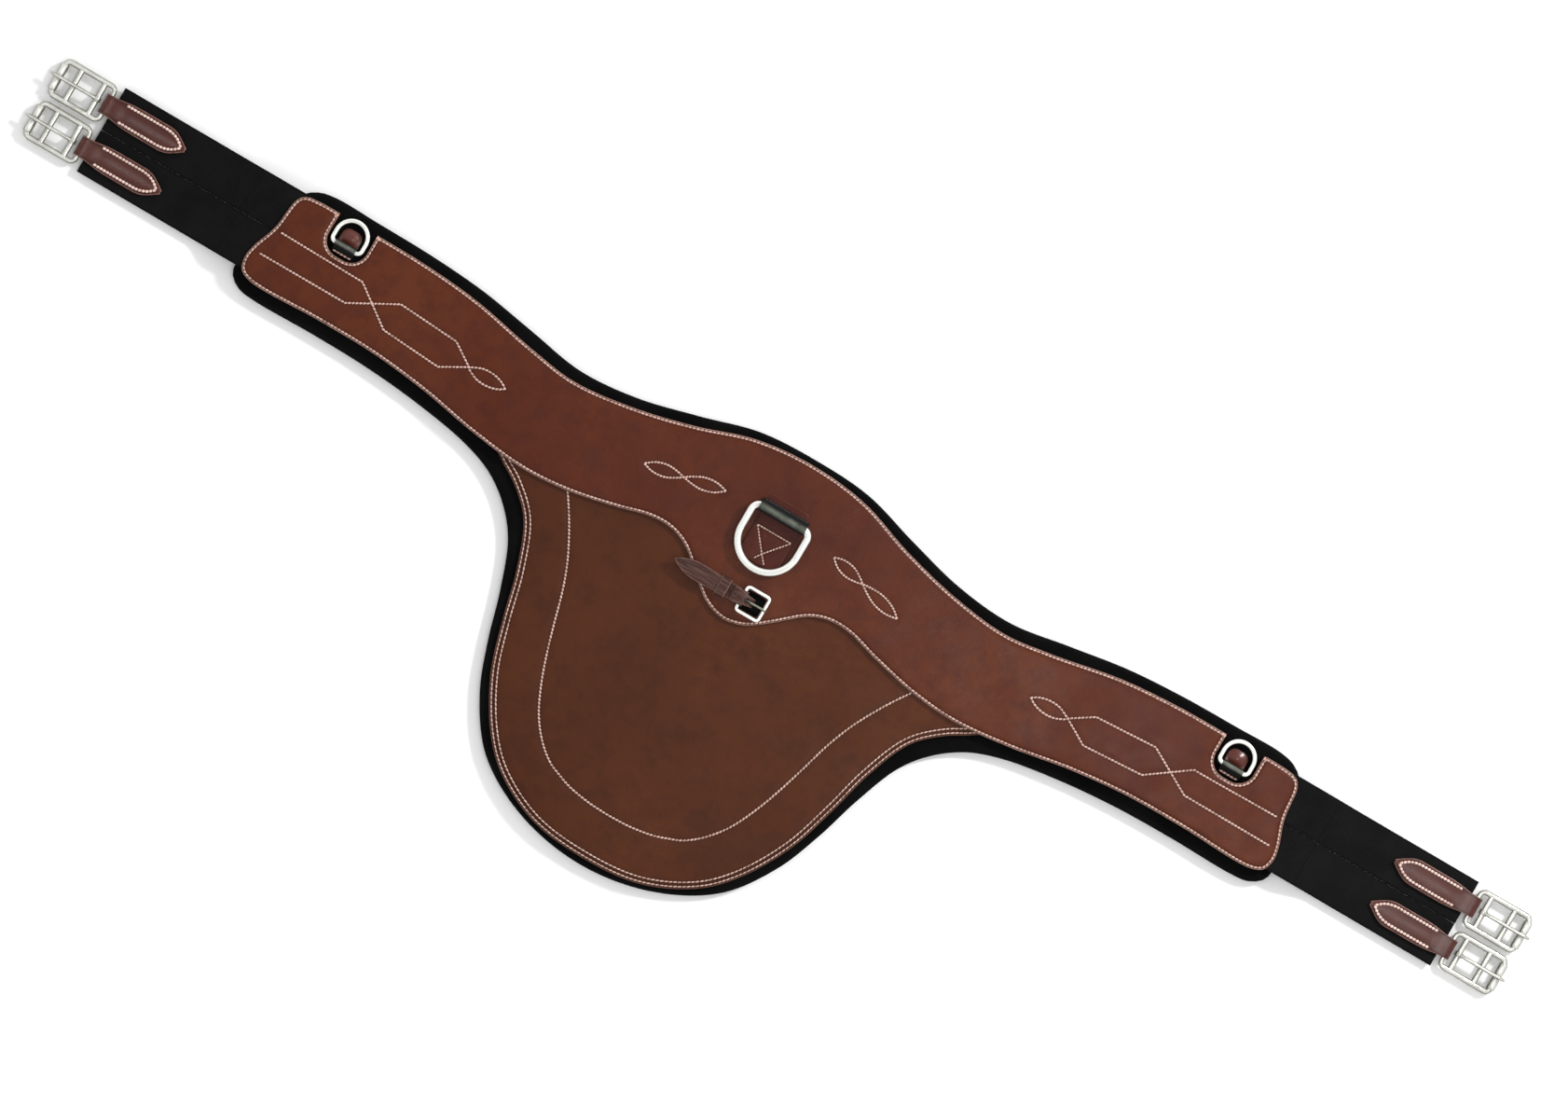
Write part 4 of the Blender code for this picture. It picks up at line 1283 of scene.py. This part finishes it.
centre_wrap = ring_wrap(
    "centre_wrap", CENTRE_AT, -1, base=on_strip + PATCH_THICK, **CENTRE_WRAP
)
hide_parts("centre_ring_loop")
big_ring = d_ring("centre_d_ring", CENTRE_AT, -1, **CENTRE_RING)
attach(big_ring, "centre_ring_body")
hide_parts("centre_ring")
thread = sew("patch_thread", patch_rows, [patch, strip], "girth_body", 2.6, 1.35, 6)
thread.data.materials.append(pale_thread)
dark_thread = thread_look("dark_thread", (0.035, 0.03, 0.027), (0.015, 0.013, 0.012))
thread = sew("wrap_thread", [WRAP_ROW], [centre_wrap], "girth_body", 2.6, 1.1, 6)
thread.data.materials.append(dark_thread)


# ---------------------------------------------------------------- lobe strap
# A little buckled strap across the lobe: it comes up through a slot, over its buckle's bar and
# under a sewn keeper. A second piece below holds the buckle, on a patch of black cloth.
LOBE_Y = -66
LOBE_THICK = 1.5
LOBE_HALF = 6.4
LOBE_BAR = (4, 19.9)
LOBE_TILT = 8.0
LOBE_WIRE = 1.5
LOBE_FRAME = {"far": 20.5, "half": 10.6, "corner": 2.5}
LOBE_HOOK = [(-1.4, 1.85), (-1.4, 2.7), (-1.0, 3.1), (1.0, 3.1), (1.4, 2.7), (1.4, 1.85)]
# How much higher up its sides the painted shade reaches on the lobe tongue.
LOBE_TONGUE_SHADE = 0.7
STRAP_STATIONS = (-40, -30, -20, -12, -5, -2, 0.5)
STRAP_SLOT = [(0.2, -2.1, 14), (9.5, 2.1, 30)]
BILLET_SLOT = [(6.3, -1.7, 16), (13.1, 1.7, 30)]
BILLET_PLAN = [
    (-58.2, 0.4), (-56.2, 1.9), (-53, 3.7), (-49, 5.3), (-44, 6.7), (-38, 7.4), (-30, 7.4),
    (-20, 6.8), (-9, 6.6), (-2, 6.2), (5, 5.0), (10.6, 4.0), (14.1, 3.6),
]
BILLET_PATH = [
    (14.1, 12.1), (14.1, 14.5), (13.3, 17.7), (10.6, 22.65), (7.6, 24.05), (4, 24.25),
    (0, 23.95), (-3.6, 22.25), (-6.6, 18.5), (-9.5, 17.65), (-20, 17.65), (-30, 17.65),
    (-40, 17.65), (-50, 17.65), (-54.5, 17.65), (-57, 17.65), (-58.2, 17.65),
]
KEEPER_X = -13.5
KEEPER_HALF = 4.4
KEEPER_THICK = 1.1


def on_lobe(x, v, z):
    return x, LOBE_Y + v, z


def cut_hole(piece, low, high):
    """A slot with round ends, cut straight through."""
    only()
    radius = (high[1] - low[1]) / 2
    middle = (low[1] + high[1]) / 2
    plan = arc((high[0] - radius, middle), radius, -90, 90, 10)
    plan += arc((low[0] + radius, middle), radius, 90, 270, 10)
    cutter = cut_panel("cutter", [Vector(p) for p in plan], low[2], high[2] - low[2], [])
    finish_with(piece, "BOOLEAN", operation="DIFFERENCE", solver="EXACT", object=cutter)
    bpy.data.objects.remove(cutter)
    smooth_shade(piece, 45)


lobe_leather = leather_look(
    "lobe_brown", (0.034, 0.0085, 0.0052), (0.054, 0.0165, 0.0110), (0.014, 0.0036, 0.0026),
    (0.17, 0.095, 0.075), 0.36, grain=0.8, gloss=0.25, streak=0.35,
)
window = rounded_plan(12, 10, (LOBE_Y + 6, 2.5, 5), (LOBE_Y - 6, 2.5, 5))
backing = cut_panel(
    "buckle_backing", [Vector(p) for p in window], on_strip - 0.8, 0.7, [(0.3, 0.2)], 3.0
)
smooth_shade(backing, 45)
backing.data.materials.append(black_cloth)
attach(backing, "girth_body")

low = on_strip + LOBE_THICK / 2
path = [(x, low) for x in STRAP_STATIONS]
path += arc(LOBE_BAR, 2.55, -100, 120, 14)
lobe_chape = strap(
    "lobe_buckle_strap", path, [LOBE_HALF] * len(path), LOBE_THICK, on_lobe, 10, 0.25
)
cut_hole(lobe_chape, *[on_lobe(*p) for p in STRAP_SLOT])
lobe_chape.data.materials.append(lobe_leather)
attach(lobe_chape, "girth_body")
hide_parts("lobe_chape")

path = [tuple(p) for p in smooth_run(BILLET_PATH, 1.5)]
halves = [np.interp(x, *zip(*BILLET_PLAN)) for x, _ in path]
billet = strap("lobe_strap", path, halves, LOBE_THICK, on_lobe, 10, 0.25)
cut_hole(billet, *[on_lobe(*p) for p in BILLET_SLOT])
billet.data.materials.append(lobe_leather)
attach(billet, "girth_body")
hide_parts("lobe_billet")

keeper_path = [(-7.7, on_strip + 0.3), (-7.7, 16.8)] + arc((-6.5, 18.1), 1.2, 180, 90, 6)
keeper_path += [(-3, 19.3), (0, 19.3), (3, 19.3)]
keeper_path += arc((6.5, 18.1), 1.2, 90, 0, 6) + [(7.7, 16.8), (7.7, on_strip + 0.3)]
keeper = strap(
    "lobe_strap_keeper", keeper_path, [KEEPER_HALF] * len(keeper_path), KEEPER_THICK,
    lambda u, v, z: (KEEPER_X + v, LOBE_Y + u, z), 8, 0.3,
)
keeper.data.materials.append(lobe_leather)
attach(keeper, "girth_body")
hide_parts("lobe_keeper")


def leaning(x, v, z):
    """A point of the lobe buckle, leaning down from its bar."""
    a = math.radians(LOBE_TILT)
    u, w = x - LOBE_BAR[0], z - LOBE_BAR[1]
    return (
        LOBE_BAR[0] + u * math.cos(a) + w * math.sin(a), LOBE_Y + v,
        LOBE_BAR[1] - u * math.sin(a) + w * math.cos(a),
    )


plan = frame_plan(
    LOBE_BAR[0], LOBE_BAR[0] + LOBE_FRAME["far"], LOBE_FRAME["half"], LOBE_FRAME["corner"], 6
)
lobe_frame = wire(
    "lobe_buckle_wire", [leaning(x, v, LOBE_BAR[1]) for x, v in plan], LOBE_WIRE, closed=True
)
smooth_shade(lobe_frame, 60)
plate(lobe_frame)
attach(lobe_frame, "lobe_buckle")
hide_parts("lobe_buckle_frame")

eye = sleeve("lobe_eye", (LOBE_BAR[0], LOBE_Y, LOBE_BAR[1]), LOBE_HOOK, 1, 22)
rest = LOBE_BAR[1] + LOBE_WIRE + 0.3 + 1.0
spots = [
    (6.0, LOBE_BAR[1] + 1.6, 1.0), (8.0, rest - 0.6, 1.0), (10, rest - 0.2, 1.0),
    (18, rest - 0.05, 1.0), (24.5, rest, 1.0), (25.5, rest - 0.15, 0.85), (26.3, rest - 0.4, 0.5),
]
shaft = wire("lobe_shaft", [leaning(x, 0, z) for x, z, _ in spots], [r for _, _, r in spots])
lobe_tongue = joined("lobe_tongue", [eye, shaft])
plate(lobe_tongue, LOBE_TONGUE_SHADE)
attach(lobe_tongue, "lobe_pin")
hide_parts("lobe_buckle_tongue")
